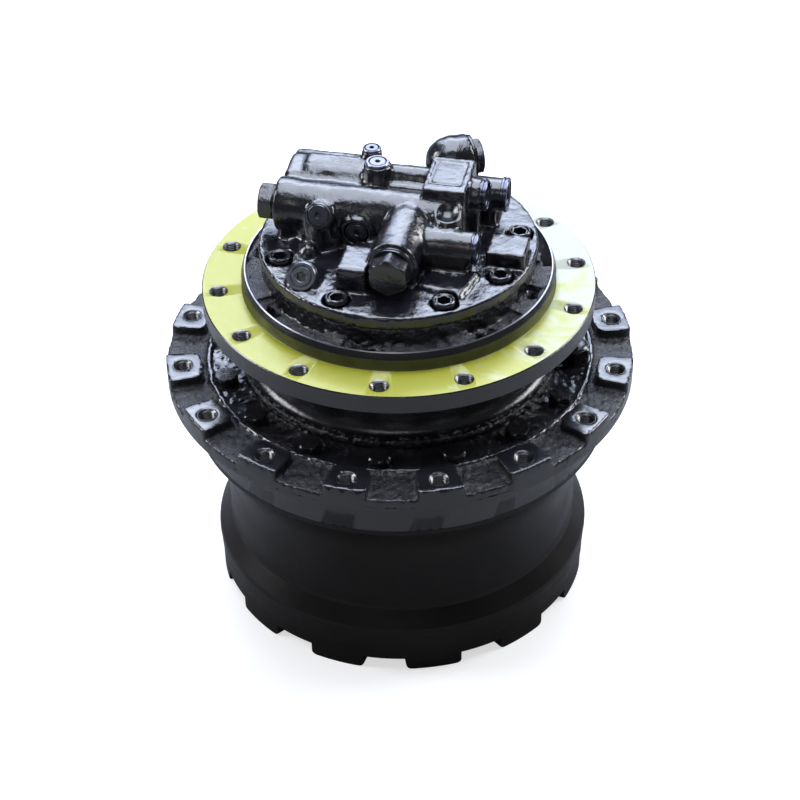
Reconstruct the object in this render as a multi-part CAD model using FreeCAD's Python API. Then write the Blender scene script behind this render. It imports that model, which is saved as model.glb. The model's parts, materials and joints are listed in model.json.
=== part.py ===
import FreeCAD, Part
import math
import os

os.makedirs("parts", exist_ok=True)

V = FreeCAD.Vector
UP = V(0, 0, 1)
ORIGIN = V(0, 0, 0)

# Driving dimensions, millimetres. Heights are measured from the frame face, where z is 0.
frame_bolt_edge = 18.4
frame_bolt_count = 14
frame_bolt_start_deg = 32.2
frame_flange_r = 218.4
frame_bolt_circle_r = frame_flange_r - frame_bolt_edge
frame_flange_t = 22.0
m20_tap_r = 8.75
m20_chamfer_r = 10.6
frame_chamfer = 0.4
pilot_r = 174.0
pilot_h = 14.0
rim_top_z = 21.5
rim_top_r = 171.0
rim_inner_r = 168.5
pocket_floor_z = 17.0
pocket_deep_z = 6.0
pocket_inner_r = 143.0
pocket_r = 157.8
pocket_half_w = 7.2
head_boss_r = 16.5
neck_r = 167.0
neck_end_z = -73.0
skirt_flare = 12.5
skirt_r = neck_r + skirt_flare
skirt_end_z = -98.6
spindle_r = 128.0
spindle_bore_r = 100.0
spindle_end_z = -240.0
spindle_shoulder_r = spindle_r + 12.0

# Valve head
joint_z = 37.0
head_flange_r = 153.0
head_flange_top_z = 52.0
head_turn_deg = -13.0
head_screw_circle_r = 133.5
head_screw_angles = (-164.0, -119.5, -69.5, -36.0, 2.0, 42.0, 78.0, 114.0, 152.0)
m16_head_r = 12.0
m16_head_h = 16.0
m16_shank_r = 8.0
spot_depth = 11.5

# Hub and sprocket flange
hub_face_z = -100.0
hub_rim_r = 219.3
hub_rim_z = -97.0
groove_r = 223.0
sprocket_flange_r = 265.0
pad_top_z = -88.9
flange_under_z = -117.4
sprocket_bolt_edge = 18.0
sprocket_bolt_circle_r = sprocket_flange_r - sprocket_bolt_edge
sprocket_bolt_count = 16
sprocket_bolt_start_deg = 8.98
sprocket_pilot_r = 240.0
sprocket_pilot_end_z = -132.0
hub_joint_z = -167.0
hub_joint_r = 237.0
hub_bolt_circle_r = skirt_r + 22.5
hub_bolt_count = 16
hub_bolt_start_deg = -6.7
index_bolt_circle_r = hub_bolt_circle_r - 3.0
hub_spot_r = 15.5
index_spot_r = 18.0
hub_sleeve_r = 186.0
hub_sleeve_end_z = -238.0

# Face seal between the case and the hub
seal_lip_gap = 3.5
seal_lip_t = 5.0
seal_room = 21.0
seal_lip_r = skirt_r - seal_lip_gap
seal_outer_r = seal_lip_r - seal_lip_t
seal_inner_r = seal_outer_r - seal_room
seal_roof_z = -92.0
seal_face_z = -108.0
seal_floor_z = -124.0

# Main bearings
bearing_bore_r = 168.0
bearing_w = 32.0
bearing_upper_z = -131.0
bearing_lower_z = -207.7
race_t = 13.0
race_shoulder = 8.0
roller_r = 6.95
roller_count = 20
roller_circle_r = 148.0
roller_h = 24.0

# Gearing: one ring gear serves both stages
gear_module = 5.0
ring_teeth = 73
sun_1_teeth = 17
sun_2_teeth = 19
planet_count_1 = 3
planet_count_2 = 4
backlash = 0.36
ring_tooth_top_z = -256.0
ring_tooth_end_z = -350.0
ring_joint_z = -363.8
ring_recess_r = 194.0
ring_bore_r = 175.0
ring_band_r = 219.0
ring_end_r = 218.2
barrel_r = 204.6
barrel_flare = 8.9

carrier_plate_r = 136.0
carrier_2_t = 15.7
carrier_1_top_z = -304.0
carrier_1_end_z = -314.0
planet_pin_r = 16.0
planets_2_z = (-300.0, -260.0)
planets_1_z = (-346.0, -316.0)
sun_2_z = (-302.0, -258.0)
sun_1_z = (-347.0, -315.5)
carrier_screw_count = 12
carrier_screw_start_deg = 15.0
carrier_screw_circle_r = 114.0

# Cover
cover_r = 217.8
cover_flange_end_z = -379.5
lug_end_z = -393.5
lug_count = 12
lug_start_deg = -81.0
lug_deg = 17.0
cover_screw_edge = 14.3
cover_screw_circle_r = cover_r - cover_screw_edge
cover_plug_circle_r = 128.0
cover_plug_angles = (-100.0, 80.0, 170.0)
cover_plug_z = -384.0
cover_boss_r = 19.0

# Motor
motor_cavity_r = 96.0
brake_seat_z = -31.0
swash_cavity_r = 90.0
motor_floor_z = -112.0
bulkhead_end_z = -142.0
shaft_r = 17.0
shaft_journal_r = 20.0
shaft_bearing_r = 40.0
block_r = 62.0
block_top_z = 31.0
block_end_z = -36.0
valve_plate_t = 5.7
piston_count = 9
piston_circle_r = 42.0
piston_r = 9.0
shoe_r = 11.0
shoe_end_z = -66.0
swash_deg = 14.0
swash_pivot_z = -80.5
swash_r = 56.0
cradle_r = 28.0
servo_y = 68.0
servo_r = 8.0
brake_plate_t = 3.0
brake_plate_pitch = 3.1
friction_count = 3
fit_gap = 0.05
seat_gap = 0.3


def cylinder(r, z0, z1, x=0.0, y=0.0):
    return Part.makeCylinder(r, z1 - z0, V(x, y, z0))


def tube(outer_r, inner_r, z0, z1):
    return cylinder(outer_r, z0, z1).cut(cylinder(inner_r, z0, z1))


def polar(r, deg):
    return r * math.cos(math.radians(deg)), r * math.sin(math.radians(deg))


def spaced(count, start_deg=0.0):
    return [start_deg + k * 360.0 / count for k in range(count)]


def turned(shape, deg, centre=ORIGIN, axis=UP):
    copy = shape.copy()
    copy.rotate(centre, axis, deg)
    return copy


def revolved(points):
    """Closed solid of revolution from (radius, height) points; a third value marks the middle of an arc."""
    edges = []
    ends = points + [points[0]]
    place = [V(p[0], 0, p[1]) for p in ends]
    k = 0
    while k < len(ends) - 1:
        middle = len(ends[k + 1]) > 2
        if middle:
            edges.append(Part.Arc(place[k], place[k + 1], place[k + 2]).toShape())
            k += 2
        else:
            edges.append(Part.LineSegment(place[k], place[k + 1]).toShape())
            k += 1
    solid = Part.Face(Part.Wire(edges)).revolve(ORIGIN, UP, 360)
    if solid.Volume < 0:
        solid.reverse()
    return solid


def aimed(shape, start, direction):
    """Carries a shape built up along Z from the origin to start, pointing along direction."""
    copy = shape.copy()
    copy.Placement = FreeCAD.Placement(start, FreeCAD.Rotation(UP, direction)).multiply(copy.Placement)
    return copy


def rod(start, end, r, end_r=None):
    start = V(*start)
    along = V(*end) - start
    if end_r is None:
        return Part.makeCylinder(r, along.Length, start, along)
    return Part.makeCone(r, end_r, along.Length, start, along)


def domed_rod(start, end, r):
    """Rod with a round back: the dome's centre is at start."""
    length = (V(*end) - V(*start)).Length
    profile = [(0, length), (0, -r), (r * math.sin(math.pi / 4), -r * math.cos(math.pi / 4), "arc"), (r, 0),
               (r, length)]
    return aimed(revolved(profile), V(*start), V(*end) - V(*start))


def ball(centre, r):
    return Part.makeSphere(r, V(*centre))


def block(x0, x1, y0, y1, z0, z1):
    return Part.makeBox(x1 - x0, y1 - y0, z1 - z0, V(x0, y0, z0))


def hexagon(across_flats, h, chamfer=1.5):
    """Hexagon prism on Z = 0 with its top corners turned down."""
    corner_r = across_flats / math.sqrt(3.0)
    corners = [V(*polar(corner_r, deg), 0) for deg in spaced(6)]
    prism = Part.Face(Part.makePolygon(corners + [corners[0]])).extrude(V(0, 0, h))
    crown = revolved([(0, 0), (corner_r + 1, 0), (corner_r + 1, h - chamfer - 0.6),
                      (across_flats / 2 - 0.4, h), (0, h)])
    return prism.common(crown)


def union(first, others):
    return first.fuse(list(others)).removeSplitter()


def tapped_hole(r, chamfer_r, z0, z1, x, y):
    """Through or blind bore that opens upward at z1 with a chamfer."""
    mouth = Part.makeCone(r, chamfer_r, chamfer_r - r, V(x, y, z1 - (chamfer_r - r)))
    return cylinder(r, z0, z1 + 1, x, y).fuse(mouth)


def save(name, shape):
    if isinstance(shape, list):
        shape = Part.makeCompound(shape)
    shape.exportStep("parts/" + name + ".step")


# Gears ---------------------------------------------------------------------------------------

def involute_r_angle(base_r, r):
    roll = math.sqrt(max(0.0, (r / base_r) ** 2 - 1.0))
    return roll - math.atan(roll)


def tooth_half_angle(teeth, r, thin):
    """Half the tooth's angle at radius r, for a tooth thinner than half the pitch by thin."""
    pitch_r = gear_module * teeth / 2.0
    base_r = pitch_r * math.cos(math.radians(20.0))
    at_pitch = math.pi / (2.0 * teeth) - thin / (2.0 * pitch_r)
    inv_pitch = involute_r_angle(base_r, pitch_r)
    return at_pitch + inv_pitch - involute_r_angle(base_r, max(r, base_r))


def gear_face(teeth, phase_deg, internal=False):
    """Face inside the tooth outline; for an internal gear it is the space that the teeth leave."""
    pitch_r = gear_module * teeth / 2.0
    outward = 1.25 if internal else 1.0
    inward = 0.9 if internal else 1.25
    thin = -backlash / 2.0 if internal else backlash / 2.0
    radii = (pitch_r - inward * gear_module, pitch_r, pitch_r + outward * gear_module)
    points = []
    for deg in spaced(teeth, phase_deg):
        middle = math.radians(deg)
        for r in radii:
            a = middle - tooth_half_angle(teeth, r, thin)
            points.append(V(r * math.cos(a), r * math.sin(a), 0))
        for r in reversed(radii):
            a = middle + tooth_half_angle(teeth, r, thin)
            points.append(V(r * math.cos(a), r * math.sin(a), 0))
    return Part.Face(Part.makePolygon(points + [points[0]]))


def gear(teeth, phase_deg, z0, z1, bore_r, x=0.0, y=0.0):
    body = gear_face(teeth, phase_deg).extrude(V(0, 0, z1 - z0))
    body.translate(V(x, y, z0))
    return body.cut(cylinder(bore_r, z0 - 1, z1 + 1, x, y))


def planet_teeth(sun_teeth):
    return (ring_teeth - sun_teeth) // 2


def planet_phase(sun_teeth, deg):
    """Angle of the planet tooth that fills a space of the ring gear, whose first space lies along X."""
    return deg * (1.0 - ring_teeth / planet_teeth(sun_teeth))


def sun_phase(sun_teeth):
    """Angle of the sun tooth beside which the first planet's teeth fall in step."""
    sun_pitch = 360.0 / sun_teeth
    return sun_pitch * (planet_teeth(sun_teeth) / 2.0 - 0.5)


def planet_circle_r(sun_teeth):
    return gear_module * (sun_teeth + planet_teeth(sun_teeth)) / 2.0


# Fixed castings --------------------------------------------------------------------------------

def motor_case():
    body = revolved([
        (motor_cavity_r, joint_z), (pocket_inner_r, joint_z), (pocket_inner_r, pocket_floor_z),
        (rim_inner_r, pocket_floor_z), (rim_inner_r + 0.8, rim_top_z),
        (rim_top_r, rim_top_z), (pilot_r, pilot_h), (pilot_r, 0),
        (frame_flange_r - 1, 0), (frame_flange_r, -1), (frame_flange_r, 1 - frame_flange_t),
        (frame_flange_r - 1, -frame_flange_t), (neck_r + 6, -frame_flange_t),
        (neck_r + 1.8, -frame_flange_t - 1.8, "arc"), (neck_r, -frame_flange_t - 6),
        (neck_r, neck_end_z), (neck_r + 1.5, neck_end_z - 6), (170.5, -83.5, "arc"),
        (skirt_r, -88.5), (skirt_r, skirt_end_z), (seal_lip_r + 0.6, skirt_end_z),
        (seal_lip_r + 0.6, seal_roof_z), (seal_inner_r, seal_roof_z), (seal_inner_r, seal_face_z),
        (spindle_shoulder_r, seal_face_z - 4), (spindle_shoulder_r, bearing_upper_z),
        (spindle_r, bearing_upper_z), (spindle_r, spindle_end_z),
        (spindle_bore_r, spindle_end_z), (spindle_bore_r, bulkhead_end_z - 16), (84, bulkhead_end_z),
        (shaft_bearing_r, bulkhead_end_z), (shaft_bearing_r, motor_floor_z),
        (swash_cavity_r, motor_floor_z), (swash_cavity_r, brake_seat_z), (motor_cavity_r, brake_seat_z)])
    bosses = []
    for deg in head_screw_angles:
        x, y = polar(head_screw_circle_r, deg)
        bosses.append(cylinder(head_boss_r, pocket_floor_z - 1, joint_z, x, y))
        rib = block(pocket_inner_r + 1, rim_inner_r + 0.6, -7, 7, pocket_floor_z - 1, rim_top_z - 1)
        bosses.append(turned(rib, deg + 3.0))
    body = union(body, bosses)
    cuts = []
    ordered = sorted(head_screw_angles)
    for first, second in zip(ordered, ordered[1:] + [ordered[0] + 360.0]):
        start = first + 10.5
        span = second - first - 17.0
        section = [V(pocket_r + side, 0, z) for side, z in (
            (-pocket_half_w, joint_z), (pocket_half_w, joint_z),
            (pocket_half_w - 1.5, pocket_deep_z), (1.5 - pocket_half_w, pocket_deep_z))]
        kidney = Part.Face(Part.makePolygon(section + section[:1])).revolve(ORIGIN, UP, span)
        cuts.append(turned(kidney, start))
        for deg in (start, start + span):
            x, y = polar(pocket_r, deg)
            cuts.append(cylinder(pocket_half_w, pocket_deep_z, joint_z, x, y))
    for deg in spaced(frame_bolt_count, frame_bolt_start_deg):
        x, y = polar(frame_bolt_circle_r, deg)
        cuts.append(tapped_hole(m20_tap_r, m20_tap_r + frame_chamfer, -frame_flange_t - 1, 0, x, y))
    for deg in head_screw_angles:
        x, y = polar(head_screw_circle_r, deg)
        cuts.append(cylinder(m16_shank_r + fit_gap, joint_z - 38, joint_z + 1, x, y))
    x, y = polar(178.0, -22.0)
    cuts.append(cylinder(15.0, rim_top_z - 3.5, rim_top_z + 5, x, y))
    body = body.cut(cuts)
    # two lands that carry the journals of the swash plate
    cradle = block(-60, 60, -23, 23, motor_floor_z - 1, swash_pivot_z - 19.1)
    cradle = cradle.cut(block(-41, 41, -60, 60, motor_floor_z - 2, 0))
    cradle = cradle.cut(rod((-80, 0, swash_pivot_z), (80, 0, swash_pivot_z), cradle_r + seat_gap))
    body = union(body, [cradle])
    holes = [cylinder(servo_r + fit_gap, bulkhead_end_z + 8, motor_floor_z + 1, 0, servo_y)]
    for deg in spaced(carrier_screw_count, carrier_screw_start_deg):
        x, y = polar(carrier_screw_circle_r, deg)
        holes.append(cylinder(6.0, spindle_end_z - 34, spindle_end_z + 34, x, y))
    return body.cut(holes)


def head_place(shape):
    return turned(shape, head_turn_deg)


relief_z = 80.0
relief_x = 15.0
spool_y = -4.0
spool_z = 84.0
spool_housing_r = 28.0
spool_r = 12.0
cap_hex = 38.0
port_a = (112.0, 56.0, 86.0)
port_b = (95.0, 22.0, 104.0)
port_drain = (98.0, -46.0, 79.0)
port_r = 13.0
rear_relief_r = 27.0
rear_relief_start = (38.0, 95.0, 98.0)
rear_relief_end = (56.8, 105.9, 98.0)
control_seat = (-30.0, 36.0, 121.0)
bleed_seat = (-44.0, 68.0, 119.0)
pilot_start = (-78.0, -12.0, 86.0)
pilot_seat = (-78.0, -40.0, 97.0)
low_start = (-80.0, -92.0, 46.0)
low_seat = (-80.0, -109.0, 62.0)


def beyond(start, end, distance):
    """Point past the end of the line from start to end, or short of it for a negative distance."""
    along = V(*end) - V(*start)
    return tuple(V(*end) + along * (distance / along.Length))


def direction(start, end):
    return tuple(V(*end) - V(*start))


def valve_head():
    flange = revolved([(0, joint_z), (head_flange_r - 1.5, joint_z), (head_flange_r, joint_z + 1.5),
                       (head_flange_r, head_flange_top_z - 2), (head_flange_r - 2, head_flange_top_z),
                       (0, head_flange_top_z)])
    spool_housing = rod((-133, spool_y, spool_z), (72, spool_y, spool_z), spool_housing_r)
    pedestal = block(-128, 70, spool_y - 26, spool_y + 40, joint_z + 2, spool_z)
    spool_collar = rod((-133, spool_y, spool_z), (-112, spool_y, spool_z), spool_housing_r + 1.2)
    rear = block(-131, -44, 22, 84, joint_z + 2, 104)
    rear = rear.makeFillet(14, [e for e in rear.Edges if min(v.Z for v in e.Vertexes) > 100])
    ridge = rod((-110, 48, 97), (-38, 47, 98), 16)
    passage = rod((-40, 46, 101), (34, 46, 101), 12.5)
    passage_wall = block(-44, 34, 34, 58, joint_z + 2, 101)
    control_boss = rod((-30, 36, 60), (-30, 36, 121), 17, 14.5)
    bleed_boss = rod((-44, 68, 60), (-44, 68, 119), 13, 10.5)
    pilot_boss = rod(pilot_start, pilot_seat, 15)
    pilot_stem = cylinder(14, joint_z + 2, 84, -79, -30)
    low_boss = rod(low_start, low_seat, 17)
    recess_wall = rod((-38, spool_y, 76), (-38, -36, 76), 18, 16.5)
    side_block = block(-43, -8, -113, -60, joint_z + 2, 80)
    relief = rod((relief_x, -96, relief_z), (relief_x, -52, relief_z), 27)
    relief_back = rod((relief_x, -64, relief_z), (relief_x + 7, 4, relief_z + 11), 26, 17)
    relief_foot = block(relief_x - 24, relief_x + 24, -92, 0, joint_z + 2, relief_z)
    top_block = block(28, 76, spool_y - 5, 58, joint_z + 2, 125)
    round_boss = cylinder(14, joint_z + 2, 104, 60, -26)
    drain_body = rod((20, port_drain[1], port_drain[2]),
                     (port_drain[0] - 8, port_drain[1], port_drain[2]), 19)
    drain_foot = block(20, 88, -64, -28, joint_z + 2, port_drain[2])
    drain_ring = rod((port_drain[0] - 9, port_drain[1], port_drain[2]), port_drain, 17.5)
    a_body = rod((60, port_a[1], port_a[2]), (port_a[0] - 4, port_a[1], port_a[2]), 18)
    a_ring = rod((port_a[0] - 7, port_a[1], port_a[2]), port_a, 19.5)
    a_foot = block(60, 100, 40, 72, joint_z + 2, port_a[2])
    b_body = rod((60, port_b[1], port_b[2]), (port_b[0] - 7, port_b[1], port_b[2]), 18.5)
    b_ring = rod((60, port_b[1], port_b[2]), port_b, 17)
    b_foot = block(60, 88, 8, 36, joint_z + 2, port_b[2])
    rear_body = domed_rod(rear_relief_start, rear_relief_end, rear_relief_r)
    rear_foot = cylinder(rear_relief_r - 7, joint_z + 2, port_a[2],
                         rear_relief_start[0], rear_relief_start[1])
    lift_pad = block(103, 146, -36, 4, joint_z + 2, 70)
    pieces = [spool_housing, spool_collar, pedestal, rear, ridge, passage, passage_wall, control_boss,
              bleed_boss, pilot_boss, pilot_stem, low_boss, recess_wall, side_block, relief, relief_back,
              relief_foot, top_block, round_boss, drain_body, drain_foot, drain_ring,
              a_body, a_ring, a_foot, b_body, b_ring, b_foot, rear_body, rear_foot, lift_pad]
    body = flange.fuse(pieces)
    rim = cylinder(head_flange_r, joint_z, head_flange_top_z).fuse(
        cylinder(head_flange_r + 40, head_flange_top_z, 200))
    body = head_place(body.common(rim))
    tools = [rod((-134, spool_y, spool_z), (73, spool_y, spool_z), spool_r + fit_gap),
             rod((-134, spool_y, spool_z), (-118, spool_y, spool_z), 15),
             rod((60, spool_y, spool_z), (73, spool_y, spool_z), 15),
             rod((relief_x, -97, relief_z), (relief_x, -72, relief_z), 15),
             rod(rear_relief_end, beyond(rear_relief_start, rear_relief_end, -24), 15),
             rod(control_seat, (control_seat[0], control_seat[1], control_seat[2] - 16), 8),
             rod(bleed_seat, (bleed_seat[0], bleed_seat[1], bleed_seat[2] - 14), 6),
             rod(pilot_seat, beyond(pilot_start, pilot_seat, -14), 8),
             rod(low_seat, beyond(low_start, low_seat, -14), 10),
             rod((-38, -37, 76), (-38, -29, 76), 13.5),
             rod((-38, -30, 76), (-38, -18, 76), 7)]
    for port in (port_a, port_b, port_drain):
        tools.append(rod((port[0] + 1, port[1], port[2]), (port[0] - 26, port[1], port[2]), port_r))
        tools.append(rod((port[0] + 0.1, port[1], port[2]), (port[0] - 2.5, port[1], port[2]),
                         port_r + 2.6, port_r))
    frame = block(34, 68, 4, 50, 124.2, 126).cut(block(36, 66, 6, 48, 124, 127))
    tools.append(frame)
    body = body.cut([head_place(tool) for tool in tools])
    seats = [cylinder(shaft_r + 5, joint_z - 1, joint_z + 14)]
    for deg in head_screw_angles:
        x, y = polar(head_screw_circle_r, deg)
        seats.append(cylinder(15.0, head_flange_top_z - spot_depth, head_flange_top_z + 16, x, y))
        seats.append(cylinder(m16_shank_r + fit_gap, joint_z - 1, head_flange_top_z, x, y))
    return body.cut(seats)


def socket_cap(r, h, socket_flats, shank_r, shank_h, chamfer=0.8):
    """Round screw or plug head with a hexagon socket, seated at the origin and pointing up."""
    profile = [(0, -shank_h), (shank_r, -shank_h), (shank_r, 0), (r, 0), (r, h - chamfer), (r - chamfer, h),
               (0, h)]
    socket = hexagon(socket_flats, h, 0.0).translated(V(0, 0, 0.4 * h))
    return revolved(profile).cut(socket)


def hex_cap(h, collar_r, collar_h, shank_r, shank_h):
    head = hexagon(cap_hex, h).translated(V(0, 0, collar_h))
    return head.fuse([cylinder(collar_r, 0, collar_h), cylinder(shank_r, -shank_h, 0)]).removeSplitter()


def head_piece(shape, start, direction):
    return head_place(aimed(shape, V(*start), V(*direction)))


def head_screws():
    screw = socket_cap(m16_head_r, m16_head_h, 14.0, m16_shank_r, 38.0)
    seat_z = head_flange_top_z - spot_depth
    return [screw.translated(V(*polar(head_screw_circle_r, deg), seat_z)) for deg in head_screw_angles]


def counterbalance_spool():
    land = spool_r
    neck = 8.0
    profile = [(0, -96), (neck, -96), (neck, -84), (land, -84), (land, -52), (neck, -49), (neck, -28),
               (land, -25), (land, 6), (neck, 9), (neck, 24), (land, 27), (land, 40), (neck, 40), (neck, 52),
               (0, 52)]
    spool = revolved(profile)
    return head_piece(spool, (0, spool_y, spool_z), (1, 0, 0))


# Motor -----------------------------------------------------------------------------------------

def drive_shaft():
    return revolved([(0, joint_z + 13.5), (shaft_r - 1, joint_z + 13.5), (shaft_r, joint_z + 12),
                     (shaft_r, motor_floor_z + 2), (shaft_journal_r, motor_floor_z + 2),
                     (shaft_journal_r, bulkhead_end_z - 2), (shaft_r, bulkhead_end_z - 2),
                     (shaft_r, bulkhead_end_z - 22), (0, bulkhead_end_z - 22)])


def cylinder_block():
    body = tube(block_r, shaft_r, block_end_z, block_top_z)
    splines = [turned(block(block_r - 1, block_r + 2.6, -2.2, 2.2, brake_seat_z, -6), deg)
               for deg in spaced(18)]
    body = union(body, splines)
    bores = []
    for deg in spaced(piston_count):
        x, y = polar(piston_circle_r, deg)
        bores.append(cylinder(piston_r, block_end_z - 1, block_top_z - 9, x, y))
        bores.append(cylinder(4.5, block_top_z - 10, block_top_z + 1, x, y))
    return body.cut(bores)


def pistons():
    made = []
    neck_z = shoe_end_z + 7
    for deg in spaced(piston_count):
        piston = revolved([(0, shoe_end_z), (shoe_r, shoe_end_z), (shoe_r, shoe_end_z + 3),
                           (8.5, shoe_end_z + 3), (7.5, neck_z), (5, neck_z + 4), (piston_r, neck_z + 11),
                           (piston_r, 0), (piston_r - 2, 2), (0, 2)])
        made.append(piston.translated(V(*polar(piston_circle_r, deg), 0)))
    return made


def retainer_plate():
    plate = tube(57, 24, shoe_end_z + 3.3, shoe_end_z + 6.3)
    holes = [cylinder(shoe_r - 1.2, shoe_end_z, shoe_end_z + 10, *polar(piston_circle_r, deg))
             for deg in spaced(piston_count)]
    return plate.cut(holes)


def valve_plate():
    plate = tube(60, shaft_r + 5, joint_z - valve_plate_t, joint_z)
    slots = []
    for start in (20.0, 200.0):
        section = [V(38, 0, 0), V(46, 0, 0), V(46, 0, 60), V(38, 0, 60)]
        slot = Part.Face(Part.makePolygon(section + section[:1]))
        slots.append(turned(slot.revolve(ORIGIN, UP, 140), start))
    return plate.cut(slots)


def swash_plate():
    """Tilted running face over two half-round journals that turn in the case."""
    disc = cylinder(swash_r, -12, 0)
    arm = block(-10, 10, 40, servo_y + 8, -9, -1)
    journals = rod((-58, 0, 0), (58, 0, 0), cradle_r).cut(block(-100, 100, -60, 60, -4, 60))
    journals = journals.cut(block(-38, 38, -60, 60, -60, 60))
    body = union(disc, [arm, journals])
    hole = cylinder(25, -60, 10).fuse([cylinder(25, -60, 10, 0, 8), cylinder(25, -60, 10, 0, -8)])
    body = body.cut(hole)
    body = turned(body, -swash_deg, ORIGIN, V(1, 0, 0))
    return body.translated(V(0, 0, swash_pivot_z))


def servo_piston():
    tilt = math.radians(swash_deg)
    arm_under_z = swash_pivot_z - servo_y * math.tan(tilt) - 9.0 / math.cos(tilt)
    top_z = arm_under_z - 6.3 / math.cos(tilt) + 6.0
    rod_end = ball((0, servo_y, top_z - 6), 6)
    return union(cylinder(servo_r, bulkhead_end_z + 9, top_z - 6, 0, servo_y), [rod_end])


def friction_plates():
    made = []
    for k in range(friction_count):
        z = brake_seat_z + 1.0 + brake_plate_pitch * (2 * k + 1)
        plate = tube(88, block_r + seat_gap, z, z + brake_plate_t)
        teeth = [turned(block(block_r, block_r + 2.9, -2.5, 2.5, z - 1, z + 5), deg) for deg in spaced(18)]
        made.append(plate.cut(teeth))
    return made


def brake_steel_plates():
    made = []
    for k in range(friction_count + 1):
        z = brake_seat_z + 1.0 + brake_plate_pitch * 2 * k
        made.append(tube(motor_cavity_r - seat_gap, 68, z, z + brake_plate_t))
    return made


def brake_piston():
    bottom = brake_seat_z + 1.0 + brake_plate_pitch * (2 * friction_count + 1) + 0.2
    return revolved([(70, bottom), (92, bottom), (92, 8), (motor_cavity_r - seat_gap, 8),
                     (motor_cavity_r - seat_gap, 26), (68, 26), (68, 6), (70, 4)])


def brake_spring():
    return revolved([(73, 26.3), (77, 26.3), (93, 34), (93, 36.7), (89, 36.7), (73, 29)])


def bushing(outer_r, inner_r, z0, z1):
    return revolved([(inner_r, z0), (outer_r - 1, z0), (outer_r, z0 + 1), (outer_r, z1 - 1),
                     (outer_r - 1, z1), (inner_r, z1)])


# Hub, bearings and seal ------------------------------------------------------------------------

def hub():
    body = revolved([
        (seal_lip_r - 4.4, hub_face_z + 6), (seal_lip_r, hub_face_z + 6), (seal_lip_r, hub_face_z - 1.5),
        (skirt_r + 3, hub_face_z), (hub_rim_r - 4, hub_face_z), (hub_rim_r - 2, hub_rim_z),
        (hub_rim_r, hub_rim_z), (groove_r, hub_face_z), (sprocket_flange_r - 1.5, hub_face_z),
        (sprocket_flange_r, hub_face_z - 1.5), (sprocket_flange_r, flange_under_z + 1.5),
        (sprocket_flange_r - 1.5, flange_under_z), (sprocket_pilot_r, flange_under_z),
        (sprocket_pilot_r, sprocket_pilot_end_z), (hub_joint_r, sprocket_pilot_end_z - 8),
        (hub_joint_r, hub_joint_z), (hub_sleeve_r, hub_joint_z), (hub_sleeve_r, hub_sleeve_end_z),
        (bearing_bore_r, hub_sleeve_end_z), (bearing_bore_r, bearing_lower_z),
        (bearing_bore_r - race_shoulder, bearing_lower_z),
        (bearing_bore_r - race_shoulder, bearing_upper_z - bearing_w),
        (bearing_bore_r, bearing_upper_z - bearing_w),
        (bearing_bore_r, bearing_upper_z), (seal_outer_r - 15, bearing_upper_z),
        (seal_outer_r - 15, seal_floor_z),
        (seal_outer_r, seal_floor_z), (seal_outer_r, -112)])
    pads = []
    for deg in spaced(sprocket_bolt_count, sprocket_bolt_start_deg):
        pads.append(sprocket_pad(deg))
    body = union(body, pads)
    cuts = []
    for deg in spaced(sprocket_bolt_count, sprocket_bolt_start_deg):
        x, y = polar(sprocket_bolt_circle_r, deg)
        cuts.append(tapped_hole(m20_tap_r, m20_chamfer_r, flange_under_z - 1, pad_top_z, x, y))
    for circle_r, spot_r, deg in hub_bolt_places():
        x, y = polar(circle_r, deg)
        cuts.append(cylinder(m16_shank_r + seat_gap, hub_joint_z - 1, hub_face_z + 1, x, y))
        cuts.append(cylinder(spot_r, hub_face_z, hub_face_z + 9, x, y))
    return body.cut(cuts)


def hub_bolt_places():
    """Circle radius, spot face radius and angle of each hub bolt; the first is the tall one."""
    angles = spaced(hub_bolt_count, hub_bolt_start_deg)
    others = [(hub_bolt_circle_r, hub_spot_r, deg) for deg in angles[1:]]
    return [(index_bolt_circle_r, index_spot_r, angles[0])] + others


def sprocket_pad(deg):
    """Machined land around one sprocket bolt, with rounded inner corners."""
    half = math.radians(5.4)
    inner = groove_r + 2.6
    corners = [V(inner * math.cos(half), -inner * math.sin(half), 0),
               V((sprocket_flange_r + 6) * math.cos(half), -(sprocket_flange_r + 6) * math.sin(half), 0),
               V((sprocket_flange_r + 6) * math.cos(half), (sprocket_flange_r + 6) * math.sin(half), 0),
               V(inner * math.cos(half), inner * math.sin(half), 0)]
    pad = Part.Face(Part.makePolygon(corners + [corners[0]])).extrude(V(0, 0, pad_top_z - hub_face_z + 1))
    inner_edges = [e for e in pad.Edges
                   if e.Length < 14 and all(math.hypot(v.X, v.Y) < inner + 1 for v in e.Vertexes)]
    pad = pad.makeFillet(8.0, inner_edges)
    pad = pad.translated(V(0, 0, hub_face_z - 1))
    return turned(pad.common(cylinder(sprocket_flange_r, -200, 0)), deg)


def hub_bolt(head):
    return head.fuse(cylinder(m16_shank_r, hub_joint_z - 28 - hub_face_z, 0))


def hub_bolts():
    bolt = hub_bolt(hexagon(24.0, 10.0))
    return [bolt.translated(V(*polar(circle_r, deg), hub_face_z))
            for circle_r, spot_r, deg in hub_bolt_places()[1:]]


def index_bolt():
    circle_r, spot_r, deg = hub_bolt_places()[0]
    return hub_bolt(hexagon(30.0, 23.0)).translated(V(*polar(circle_r, deg), hub_face_z))


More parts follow.
